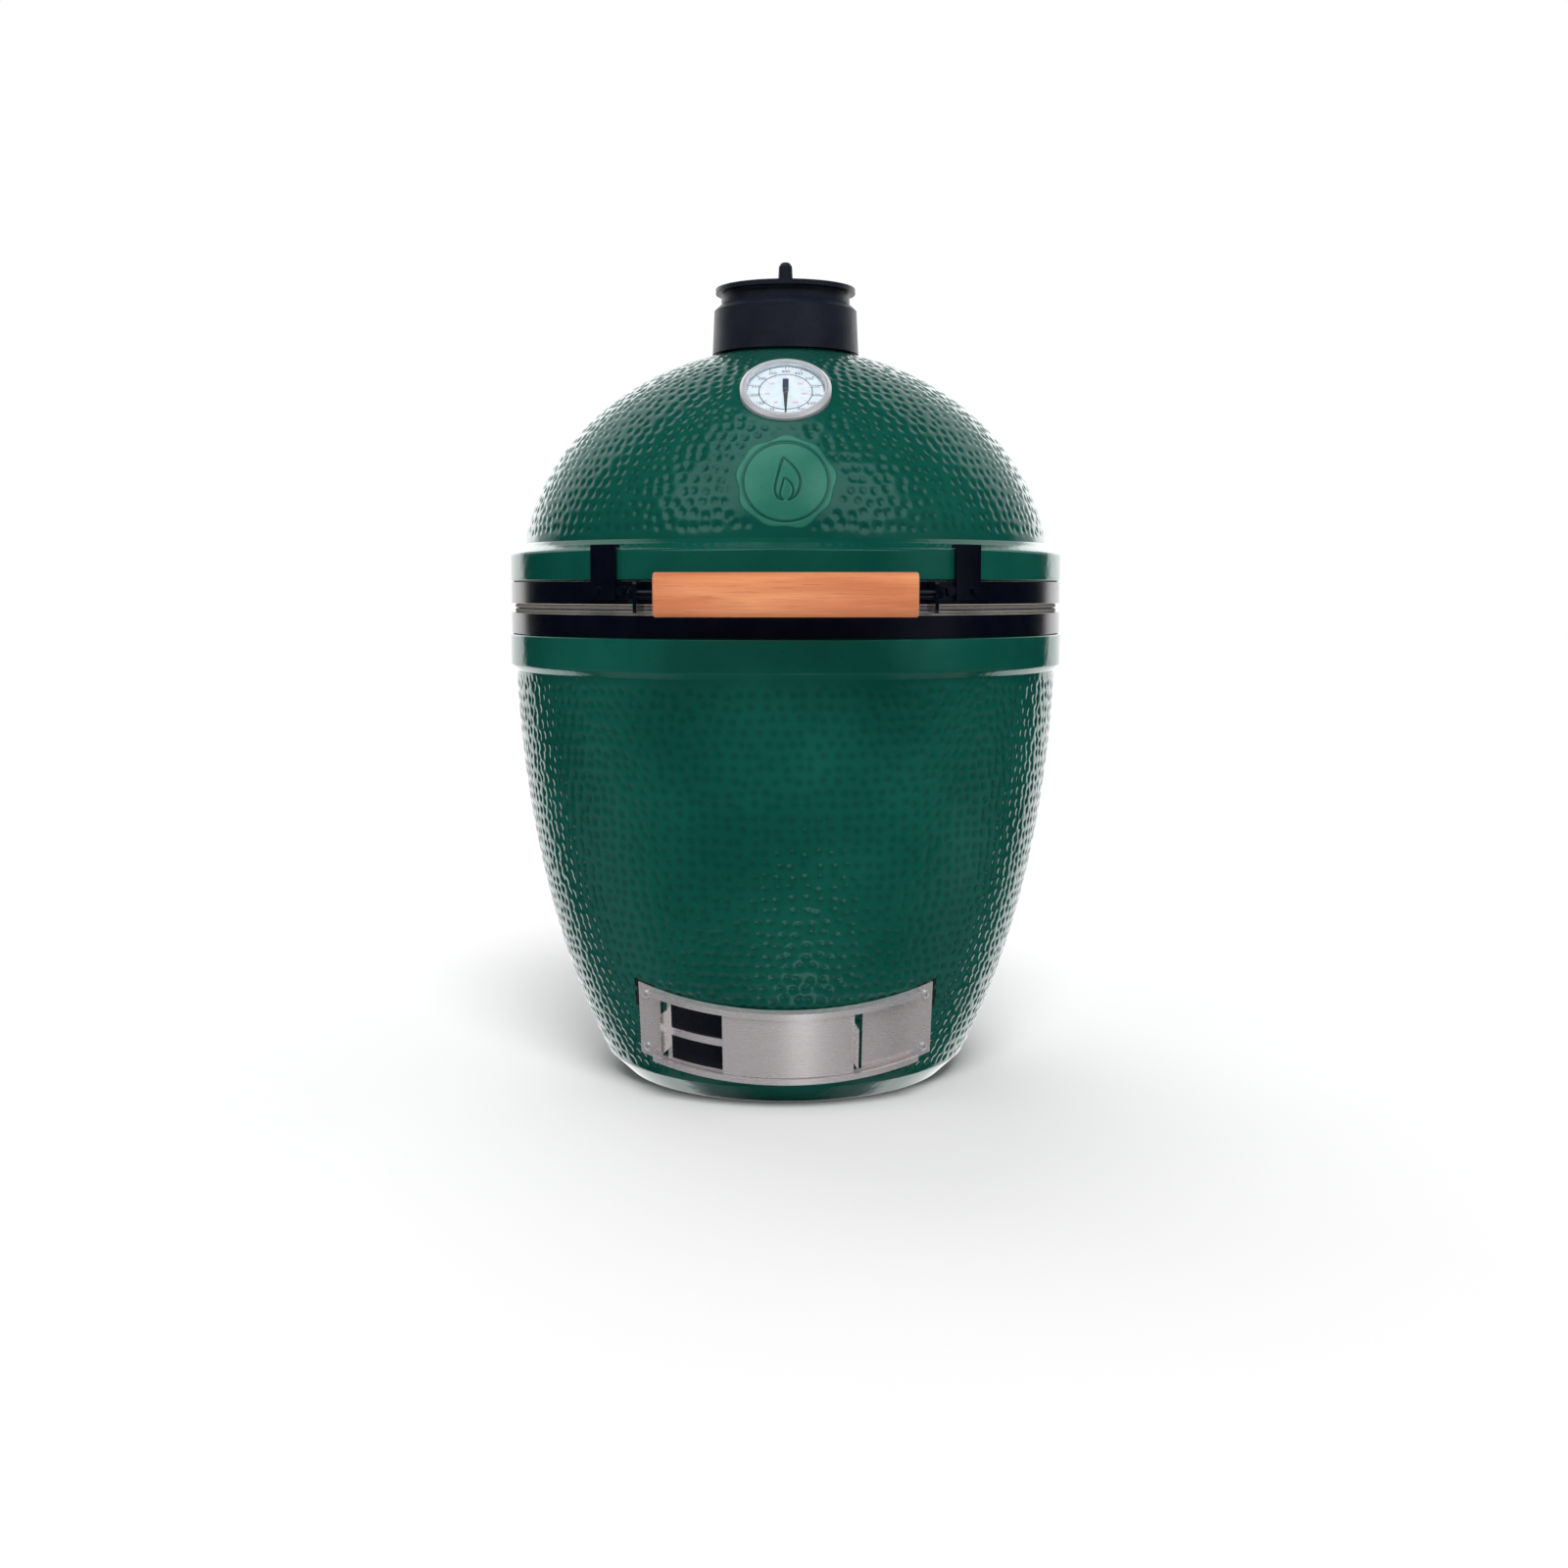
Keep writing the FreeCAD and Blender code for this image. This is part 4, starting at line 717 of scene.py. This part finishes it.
def flame_edge(x, y):
    """Above 0 inside a plain flame, 0 on its outline and below 0 outside it."""
    rise = (y + 0.50) / 1.12
    if not 0 < rise < 1:
        return -0.3
    half = 0.72 * rise ** 0.5 * (1 - rise) ** 0.85
    sway = 0.13 * math.sin(3.6 * rise) * rise
    return half - abs(x - sway)


def groove(value, width):
    """1 on a line where value is 0, fading to 0 beyond width."""
    return max(0.0, 1 - (value / width) ** 2) if abs(value) < width else 0.0


def build_medallion():
    """A smooth raised badge on the dome's front: a wavy edge, a ring and a plain flame. Its paler glaze
    is a painted highlight, and its grooves and edge are darkened, partly as pooled glaze and partly as
    painted shade.
    """
    count, spread = 120, 1.06
    points, pooled, keep = [], [], {}
    for i in range(count + 1):
        for j in range(count + 1):
            u, v = (2 * j / count - 1) * spread, (2 * i / count - 1) * spread
            reach, angle = math.hypot(u, v), math.atan2(v, u)
            wavy = 0.98 + 0.025 * math.sin(9 * angle) + 0.018 * math.sin(5 * angle + 1.0)
            if reach > wavy + 0.03:
                continue
            height = MEDALLION_HEIGHT + v * MEDALLION_RADIUS * 0.93
            place = dome_point(u * MEDALLION_RADIUS, height)
            slope = (place.z - DOME_MIDDLE) * (DOME_RADIUS / DOME_RISE) ** 2
            outward = Vector((place.x, place.y, slope)).normalized()
            raised = min(1.0, max(0.0, (wavy - reach) / 0.06))
            raised = raised * raised * (3 - 2 * raised)
            sunk = max(groove(reach - 0.82, 0.035), groove(flame_edge(u * 1.25, v * 1.25), 0.05),
                       groove(flame_edge(u * 2.4, v * 2.4 + 0.42), 0.08))
            keep[(i, j)] = len(points)
            points.append(place + outward * (0.0011 * raised - 0.0005 - 0.0008 * sunk * raised))
            # Darker in the sunk grooves and at the badge's edge: partly pooled glaze, partly painted
            # shade.
            pooled.append(max(sunk, 1 - raised))
    faces = []
    for i in range(count):
        for j in range(count):
            square = [(i, j), (i, j + 1), (i + 1, j + 1), (i + 1, j)]
            if all(corner in keep for corner in square):
                faces.append([keep[corner] for corner in square])
    medallion = make_object("dome_medallion", points, faces, [BADGE_GLAZE_PAINTED_LIGHT])
    medallion.data.attributes.new("pooled", "FLOAT", "POINT").data.foreach_set("value", pooled)
    thick = medallion.modifiers.new("thick", "SOLIDIFY")
    thick.thickness, thick.offset = 0.0012, -1.0
    finish_piece(medallion, "dome", "green_glaze")


# ==== felt
def felt_ring(name, body, node, inner, outer, low, high, seed):
    """A felt ring with soft edges that bulge and waver slightly inside the CAD ring."""
    columns, steps = 720, 20
    points, faces = [], []
    middle, half_wide, half_tall = (inner + outer) / 2, (outer - inner) / 2, (high - low) / 2
    for i in range(columns):
        turn = 2 * math.pi * i / columns
        for j in range(steps):
            angle = 2 * math.pi * (j + 0.5) / steps
            across = math.copysign(abs(math.cos(angle)) ** 0.22, math.cos(angle))
            up = math.copysign(abs(math.sin(angle)) ** 0.42, math.sin(angle))
            where = Vector((math.sin(turn) * 38, math.cos(turn) * 38, angle * 0.8 + seed))
            waver = 1 - 0.045 * (0.5 + 0.5 * noise.noise(where)) - 0.02 * draw_fuzz(where)
            radius = middle + half_wide * across * waver
            points.append((radius * math.sin(turn), radius * math.cos(turn),
                           (low + high) / 2 + half_tall * up * (1 - 0.05 * draw_fuzz(where * 1.7))))
    for i in range(columns):
        k = (i + 1) % columns
        for j in range(steps):
            n = (j + 1) % steps
            faces.append((i * steps + j, k * steps + j, k * steps + n, i * steps + n))
    ring = make_object(name, points, faces, [MATERIALS["grey_felt"]])
    finish_piece(ring, body, "grey_felt", node)


def draw_fuzz(where):
    """Fine unevenness between 0 and 1."""
    return 0.5 + 0.5 * noise.noise(where * 3.1)


# ==== handle
def build_handle():
    """A bar of wood with rounded long edges and softened ends."""
    low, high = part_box("wood_handle")
    corner, soft = 0.009, 0.0022
    size = high - low
    middle = (low + high) / 2
    arc, ends, stations = 9, 6, 40
    section = []
    for sy, sz, start in ((1, 1, 0), (-1, 1, 90), (-1, -1, 180), (1, -1, 270)):
        for i in range(arc + 1):
            angle = math.radians(start + 90 * i / arc)
            section.append((sy * (size.y / 2 - corner) + corner * math.cos(angle),
                            sz * (size.z / 2 - corner) + corner * math.sin(angle)))
    left = []
    for i in range(ends + 1):
        angle = math.pi / 2 * i / ends
        left.append((-size.x / 2 + soft * (1 - math.sin(angle)), soft * (1 - math.cos(angle))))
    left.reverse()
    inner = [(-size.x / 2 + soft + (size.x - 2 * soft) * i / stations, 0.0)
             for i in range(1, stations)]
    right = [(-x, inset) for x, inset in reversed(left)]
    spans = left + inner + right
    points, faces = [], []
    for x, inset in spans:
        for y, z in section:
            scale_y, scale_z = 1 - inset / (size.y / 2), 1 - inset / (size.z / 2)
            points.append(middle + Vector((x, y * scale_y, z * scale_z)))
    wide = len(section)
    for i in range(len(spans) - 1):
        for j in range(wide):
            k = (j + 1) % wide
            faces.append((i * wide + j, i * wide + k, (i + 1) * wide + k, (i + 1) * wide + j))
    faces.append(tuple(reversed(range(wide))))
    faces.append(tuple(range((len(spans) - 1) * wide, len(spans) * wide)))
    bar = solid_from("handle_bar", points, faces, [MATERIALS["handle_wood"]], 50)
    finish_piece(bar, "dome", "handle_wood", "wood_handle")


# ==== thermometer
def disc_ring(work, place, inner, outer, up, segments=96, first=0.0, last=360.0):
    """A flat ring, or part of one, printed on the dial."""
    full = last - first >= 360
    count = segments if full else segments + 1
    rows = []
    for i in range(count):
        turn = math.radians(first + (last - first) * i / segments)
        arm = Vector((math.sin(turn), math.cos(turn), 0))
        rows.append((work.verts.new(place @ (arm * inner + Vector((0, 0, up)))),
                     work.verts.new(place @ (arm * outer + Vector((0, 0, up))))))
    for i in range(segments):
        a, b = rows[i], rows[(i + 1) % count]
        work.faces.new((a[0], b[0], b[1], a[1]))


def printed_text(label, size, place):
    """A number printed flat, as a mesh."""
    curve = bpy.data.curves.new("number", "FONT")
    curve.body, curve.size = label, size
    curve.align_x, curve.align_y = "CENTER", "CENTER"
    curve.resolution_u = 3
    carrier = bpy.data.objects.new("number", curve)
    SCENE.collection.objects.link(carrier)
    bpy.context.view_layer.update()
    mesh = bpy.data.meshes.new_from_object(carrier.evaluated_get(
        bpy.context.evaluated_depsgraph_get()))
    bpy.data.objects.remove(carrier)
    mesh.transform(place)
    return mesh


def build_dial_print():
    """Ticks, rings and numbers on the dial: a black outer scale and a red inner one."""
    up = -0.00622
    first, last, count = -150.0, 150.0, 13
    for name, colour, tick_in, tick_out, number_at, size, low, pitch, minor in (
        ("dial_outer_print", PRINT_BLACK, 0.0318, 0.0350, 0.0281, 0.0052, 100, 50, 4),
        ("dial_inner_print", PRINT_RED, 0.0208, 0.0228, 0.0172, 0.0036, 50, 25, 1),
    ):
        work = bmesh.new()
        steps = (count - 1) * (minor + 1)
        for i in range(steps + 1):
            turn = first + (last - first) * i / steps
            major = i % (minor + 1) == 0
            length = (tick_out - tick_in) * (1 if major else 0.5)
            half = 0.55 if major else 0.28
            disc_ring(work, ON_DIAL, tick_out - length, tick_out, up, 1, turn - half, turn + half)
        if name == "dial_outer_print":
            disc_ring(work, ON_DIAL, 0.0237, 0.0245, up)
            disc_ring(work, ON_DIAL, 0.0350, 0.0353, up)
        for i in range(count):
            turn = math.radians(first + (last - first) * i / (count - 1))
            middle = Vector((number_at * math.sin(turn), number_at * math.cos(turn), up))
            if name == "dial_inner_print" and i % 2:
                continue
            number = printed_text(str(low + pitch * i), size, ON_DIAL @ Matrix.Translation(middle))
            work.from_mesh(number)
            bpy.data.meshes.remove(number)
        layer = from_bmesh(name, work, [colour], smooth=False)
        thick = layer.modifiers.new("thick", "SOLIDIFY")
        thick.thickness, thick.offset = 0.00006, 0.0
        finish_piece(layer, "dome", "dial_white")


def build_needle():
    """A slim pointer with a broad tail, a hub and a cap, on the dial's axis."""
    low_face, high_face = -0.0044, -0.0037
    outlines = (
        ("needle_pointer", MATERIALS["needle_paint"], ["thermometer_needle"],
         [(-0.0021, 0.0), (-0.0014, -0.016), (-0.0005, -0.0299), (0.0005, -0.0299),
          (0.0014, -0.016), (0.0021, 0.0)]),
        ("needle_tail", TAIL_TEAL, [],
         [(0.0021, 0.0), (0.0026, 0.003), (0.0027, 0.0142), (0.0020, 0.015), (-0.0020, 0.015),
          (-0.0027, 0.0142), (-0.0026, 0.003), (-0.0021, 0.0)]),
    )
    for name, material, nodes, outline in outlines:
        work = bmesh.new()
        top = [work.verts.new(ON_DIAL @ Vector((x, y, high_face))) for x, y in outline]
        bottom = [work.verts.new(ON_DIAL @ Vector((x, y, low_face))) for x, y in outline]
        work.faces.new(top)
        work.faces.new(list(reversed(bottom)))
        for i in range(len(outline)):
            k = (i + 1) % len(outline)
            work.faces.new((top[i], bottom[i], bottom[k], top[k]))
        piece = from_bmesh(name, work, [material], smooth=False)
        finish_piece(piece, "needle", "needle_paint", *nodes)
    profile = [(0.0, -0.0046), (0.0024, -0.0046), (0.0026, -0.0044), (0.0026, -0.0037),
               (0.0019, -0.0032), (0.0, -0.0030)]
    points, faces, _ = revolve(profile, 40, closed=False)
    hub = make_object("needle_hub", [ON_DIAL @ Vector(p) for p in points.tolist()], faces,
                      [MATERIALS["needle_paint"]], sharp=35)
    finish_piece(hub, "needle", "needle_paint")


def build_bezel():
    """The dial's turned rim, with a rolled edge and a shallow inner step."""
    profile = rounded_outline([
        (0.0357, -0.0078, 0.0), (0.0357, -0.0012, 0.0), (0.0362, -0.0005, 0.0003),
        (0.0372, 0.0, 0.0006), (0.0386, 0.0, 0.0010), (0.0414, -0.0026, 0.0022),
        (0.0414, -0.0078, 0.0008),
    ], 0.0012)
    points, faces, _ = revolve(profile, 160)
    rim = make_object("thermometer_rim", [ON_DIAL @ Vector(p) for p in points.tolist()], faces,
                      [MATERIALS["bezel_steel"]], sharp=40)
    finish_piece(rim, "dome", "bezel_steel")


# ==== hinge springs
def tube(name, path, radius, material, sides=12):
    """A round wire along a path, with flat ends."""
    path = [Vector(p) for p in path]
    points, faces = [], []
    side = Vector((0, 0, 1))
    for i, here in enumerate(path):
        ahead = (path[min(i + 1, len(path) - 1)] - path[max(i - 1, 0)]).normalized()
        side = side - ahead * side.dot(ahead)
        if side.length < 1e-6:
            side = ahead.orthogonal()
        side.normalize()
        other = ahead.cross(side)
        for j in range(sides):
            angle = 2 * math.pi * j / sides
            points.append(here + side * radius * math.cos(angle) + other * radius * math.sin(angle))
    for i in range(len(path) - 1):
        for j in range(sides):
            k = (j + 1) % sides
            faces.append((i * sides + j, i * sides + k, (i + 1) * sides + k, (i + 1) * sides + j))
    faces.append(tuple(reversed(range(sides))))
    faces.append(tuple(range((len(path) - 1) * sides, len(path) * sides)))
    return solid_from(name, points, faces, [material], 50)


def build_springs():
    """Two torsion springs on the hinge pin: close coils between a lower and an upper leg."""
    axis_y, axis_z = 0.312, 0.4655
    coil, wire = 0.0072, 0.0017
    for word, side in (("left", -1), ("right", 1)):
        low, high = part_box(f"assist_spring_{word}")
        near, far = min(abs(low.x), abs(high.x)) + 0.0022, max(abs(low.x), abs(high.x)) - 0.0022
        turns = 9
        path = [(side * near, low.y + 0.001 + 0.003 * i, axis_z - coil) for i in range(11)]
        path = [(x, y, z) for x, y, z in path if y < axis_y - 0.001]
        per_turn = 24
        count = turns * per_turn + per_turn // 2
        for i in range(count + 1):
            angle = 2 * math.pi * i / per_turn
            share = i / count
            path.append((side * (near + (far - near) * share),
                         axis_y + coil * math.sin(angle), axis_z - coil * math.cos(angle)))
        end = path[-1]
        path += [(end[0], end[1] - 0.003 * i, end[2]) for i in range(1, 12)]
        spring = tube(f"spring_{word}", path, wire, MATERIALS["zinc_steel"])
        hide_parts(f"assist_spring_{word}")
        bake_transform(spring)


# ==== fasteners
def domed_head(work, place, radius, height, recess):
    """A domed screw head with a rounded edge; recess is 'cross' or 'hex'."""
    rings, columns = 7, 36
    last = None
    for i in range(-1, rings + 1):
        share = max(i, 0) / rings
        ring_radius = radius * math.cos(share * math.pi / 2 * 0.98)
        ring_height = height * (0.35 + 0.65 * math.sin(share * math.pi / 2)) if i >= 0 else 0.0
        ring = []
        for j in range(columns):
            turn = 2 * math.pi * j / columns
            x, y = ring_radius * math.cos(turn), ring_radius * math.sin(turn)
            sunk = 0.0
            if recess == "cross" and max(abs(x), abs(y)) < radius * 0.55:
                sunk = height * 0.45 if min(abs(x), abs(y)) < radius * 0.13 else 0.0
            elif recess == "hex" and ring_radius < radius * 0.45:
                sunk = height * 0.55
            ring.append(work.verts.new(place @ Vector((x, y, ring_height - sunk))))
        for j in range(columns if last else 0):
            k = (j + 1) % columns
            work.faces.new((last[j], last[k], ring[k], ring[j]))
        if not last:
            work.faces.new(list(reversed(ring)))
        last = ring
    work.faces.new(last)


def facing(point, direction):
    """A frame at a point whose Z looks along a direction."""
    return Matrix.Translation(point) @ Vector(direction).to_track_quat("Z", "Y").to_matrix().to_4x4()


def build_vent_screws():
    """Four pan-head screws with crossed slots at the vent's corners."""
    work = bmesh.new()
    for across in (-1, 1):
        for up in (-1, 1):
            point = vent_point(0.2233, across * 35.6, up * 0.030)
            outward = point - vent_point(0.20, across * 35.6, up * 0.030)
            domed_head(work, facing(point, outward), 0.0044, 0.0027, "cross")
    heads = from_bmesh("vent_screw_heads", work, [MATERIALS["bright_steel"]], sharp=30)
    finish_piece(heads, "base", "bright_steel", "vent_screws")


def build_bracket_bolts():
    """Four domed socket screws that hold the handle's brackets."""
    low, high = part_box("handle_bracket_bolts")
    level = (low.z + high.z) / 2
    work = bmesh.new()
    for side in (-1, 1):
        for degrees, face in ((31.4, 0.2769), (36.9, 0.2799)):
            turn = math.radians(side * degrees)
            outward = Vector((math.sin(turn), -math.cos(turn), 0))
            place = outward * face + Vector((0, 0, level))
            domed_head(work, facing(place, outward), 0.0045, 0.0029, "hex")
    heads = from_bmesh("bracket_bolt_heads", work, [BOLT_BLACK], sharp=35)
    finish_piece(heads, "dome", "black_steel")


# ==== draft vent
def wire_strip(points, faces, path, half):
    """Adds a thin square wire along a path."""
    start = len(points)
    for here, outward, along in path:
        across = along.cross(outward).normalized() * half
        lift = outward.normalized() * half
        for a, b in ((1, 1), (-1, 1), (-1, -1), (1, -1)):
            points.append(here + across * a + lift * b)
    count = len(path)
    for i in range(count - 1):
        for j in range(4):
            k = (j + 1) % 4
            faces.append((start + i * 4 + j, start + i * 4 + k,
                          start + (i + 1) * 4 + k, start + (i + 1) * 4 + j))
    faces.append(tuple(start + j for j in (3, 2, 1, 0)))
    faces.append(tuple(start + (count - 1) * 4 + j for j in range(4)))


def build_screen():
    """A woven wire screen behind the spark door's two windows."""
    pitch, half, lift, radius = 0.0017, 0.00036, 0.0002, 0.22385
    first, last, low, high = -29.0, 1.4, -0.033, 0.033
    step = math.degrees(pitch / radius)
    columns, rows = int((last - first) / step), int((high - low) / pitch)
    points, faces = [], []
    for i in range(columns + 1):
        turn = first + step * (i + 0.5)
        path = []
        for j in range(2 * rows + 1):
            up = low + (high - low) * j / (2 * rows)
            wave = lift * math.sin(math.pi * (j / 2 + i))
            place = vent_point(radius + wave, turn, up)
            outward = place - vent_point(0.1, turn, up)
            path.append((place, outward, vent_point(radius, turn, 1.0) - vent_point(radius, turn, 0.0)))
        wire_strip(points, faces, path, half)
    for j in range(rows + 1):
        up = low + (high - low) * (j + 0.5) / (rows + 1)
        path = []
        for i in range(2 * columns + 1):
            turn = first + (last - first) * i / (2 * columns)
            wave = -lift * math.sin(math.pi * (i / 2 + j))
            place = vent_point(radius + wave, turn, up)
            outward = place - vent_point(0.1, turn, up)
            along = vent_point(radius, turn + 1, up) - vent_point(radius, turn - 1, up)
            path.append((place, outward, along))
        wire_strip(points, faces, path, half)
    screen = make_object("spark_screen", points, faces, [MATERIALS["black_steel"]], smooth=False)
    finish_piece(screen, "screen_door", "black_steel", "screen_mesh")


# ==== light, floor, camera
def toward(nodes, links, heading, direction, start, end, strength):
    """Light from round one direction: full beyond end, none before start, with a soft edge."""
    match = nodes.new("ShaderNodeVectorMath")
    match.operation = "DOT_PRODUCT"
    match.inputs[1].default_value = Vector(direction).normalized()
    links.new(heading, match.inputs[0])
    value = ranged(nodes, links, match.outputs["Value"], 0.0, strength, start, end)
    value.node.interpolation_type = "SMOOTHSTEP"
    return value


BACKDROP_GLOW = 1.45
TENT = 0.52
GLOWS = (
    ((-0.52, 0.70, 0.49), 0.84, 0.94, 0.85),
    ((0.52, 0.70, 0.49), 0.84, 0.94, 0.85),
    ((-0.45, -0.55, 0.70), 0.91, 0.995, 1.3),
    ((0.42, -0.60, 0.68), 0.91, 0.995, 1.3),
    ((-0.10, -0.20, 0.97), 0.93, 0.995, 1.2),
    ((0.0, 0.0, -1.0), 0.70, 0.76, 0.24),
    ((0.0, 0.0, -1.0), 0.88, 0.94, -0.22),
    ((-0.88, 0.05, -0.46), 0.93, 0.97, 0.16),
    ((0.88, 0.05, -0.46), 0.93, 0.97, 0.16),
    ((0.13, -0.63, -0.77), 0.984, 0.998, 0.9),
    ((0.85, -0.5, 0.25), 0.90, 0.99, 0.15),
)


def build_world():
    """What shines on the object: an even tent, and for gloss a white backdrop and soft glows."""
    world = bpy.data.worlds.new("studio")
    SCENE.world = world
    world.use_nodes = True
    nodes, links = world.node_tree.nodes, world.node_tree.links
    nodes.clear()
    output = nodes.new("ShaderNodeOutputWorld")
    heading = nodes.new("ShaderNodeTexCoord").outputs["Generated"]
    total = toward(nodes, links, heading, (0, 0.97, -0.24), 0.66, 0.75, BACKDROP_GLOW)
    for direction, start, end, strength in GLOWS:
        plus = nodes.new("ShaderNodeMath")
        links.new(total, plus.inputs[0])
        links.new(toward(nodes, links, heading, direction, start, end, strength), plus.inputs[1])
        total = plus.outputs["Value"]
    path = nodes.new("ShaderNodeLightPath")
    soft = mixed(nodes, links, path.outputs["Is Glossy Ray"], (TENT, TENT, TENT), total)
    seen = mixed(nodes, links, path.outputs["Is Camera Ray"], soft, (1, 1, 1))
    shade = nodes.new("ShaderNodeBackground")
    links.new(seen, shade.inputs["Color"])
    links.new(shade.outputs["Background"], output.inputs["Surface"])


def build_lights():
    """Two wide suns: one from above and in front, one from above and behind."""
    for name, source, spread, strength in (
        ("key", (0.12, -1.0, 1.15), 26, 2.1),
        ("rear", (-0.4, 1.0, 1.3), 50, 0.8),
    ):
        data = bpy.data.lights.new(name, "SUN")
        data.energy, data.angle = strength, math.radians(spread)
        light = bpy.data.objects.new(name, data)
        light.rotation_euler = (-Vector(source)).to_track_quat("-Z", "Y").to_euler()
        light.visible_glossy = False
        SCENE.collection.objects.link(light)


def build_floor():
    """A wide pale disc under the foot."""
    work = bmesh.new()
    bmesh.ops.create_circle(work, cap_ends=True, segments=128, radius=14)
    floor = from_bmesh("studio_floor", work, [floor_paint()], smooth=False)
    if floor.data.polygons[0].normal.z < 0:
        floor.data.flip_normals()
    floor.location.z = -0.0004
    floor.visible_glossy = False


def build_camera():
    """A level eye 1.85 m away, tilted slightly down, as the object was seen."""
    data = bpy.data.cameras.new("camera")
    data.sensor_width, data.lens = 36, 41.6
    camera = bpy.data.objects.new("camera", data)
    camera.location = (-0.0015, -1.839, 0.4848)
    camera.rotation_euler = (math.radians(90 - 6.17), 0, 0)
    SCENE.collection.objects.link(camera)
    SCENE.camera = camera


SCENE.view_settings.view_transform = "Standard"
build_base()
build_dome()
build_medallion()
felt_ring("base_felt", "base", "base_gasket", 0.243, 0.270, 0.4615, 0.4654, 1.0)
felt_ring("dome_felt", "dome", "dome_gasket", 0.243, 0.270, 0.4658, 0.4697, 7.0)
build_handle()
build_dial_print()
build_needle()
build_bezel()
build_springs()
build_vent_screws()
build_bracket_bolts()
build_screen()
build_world()
build_lights()
build_floor()
build_camera()
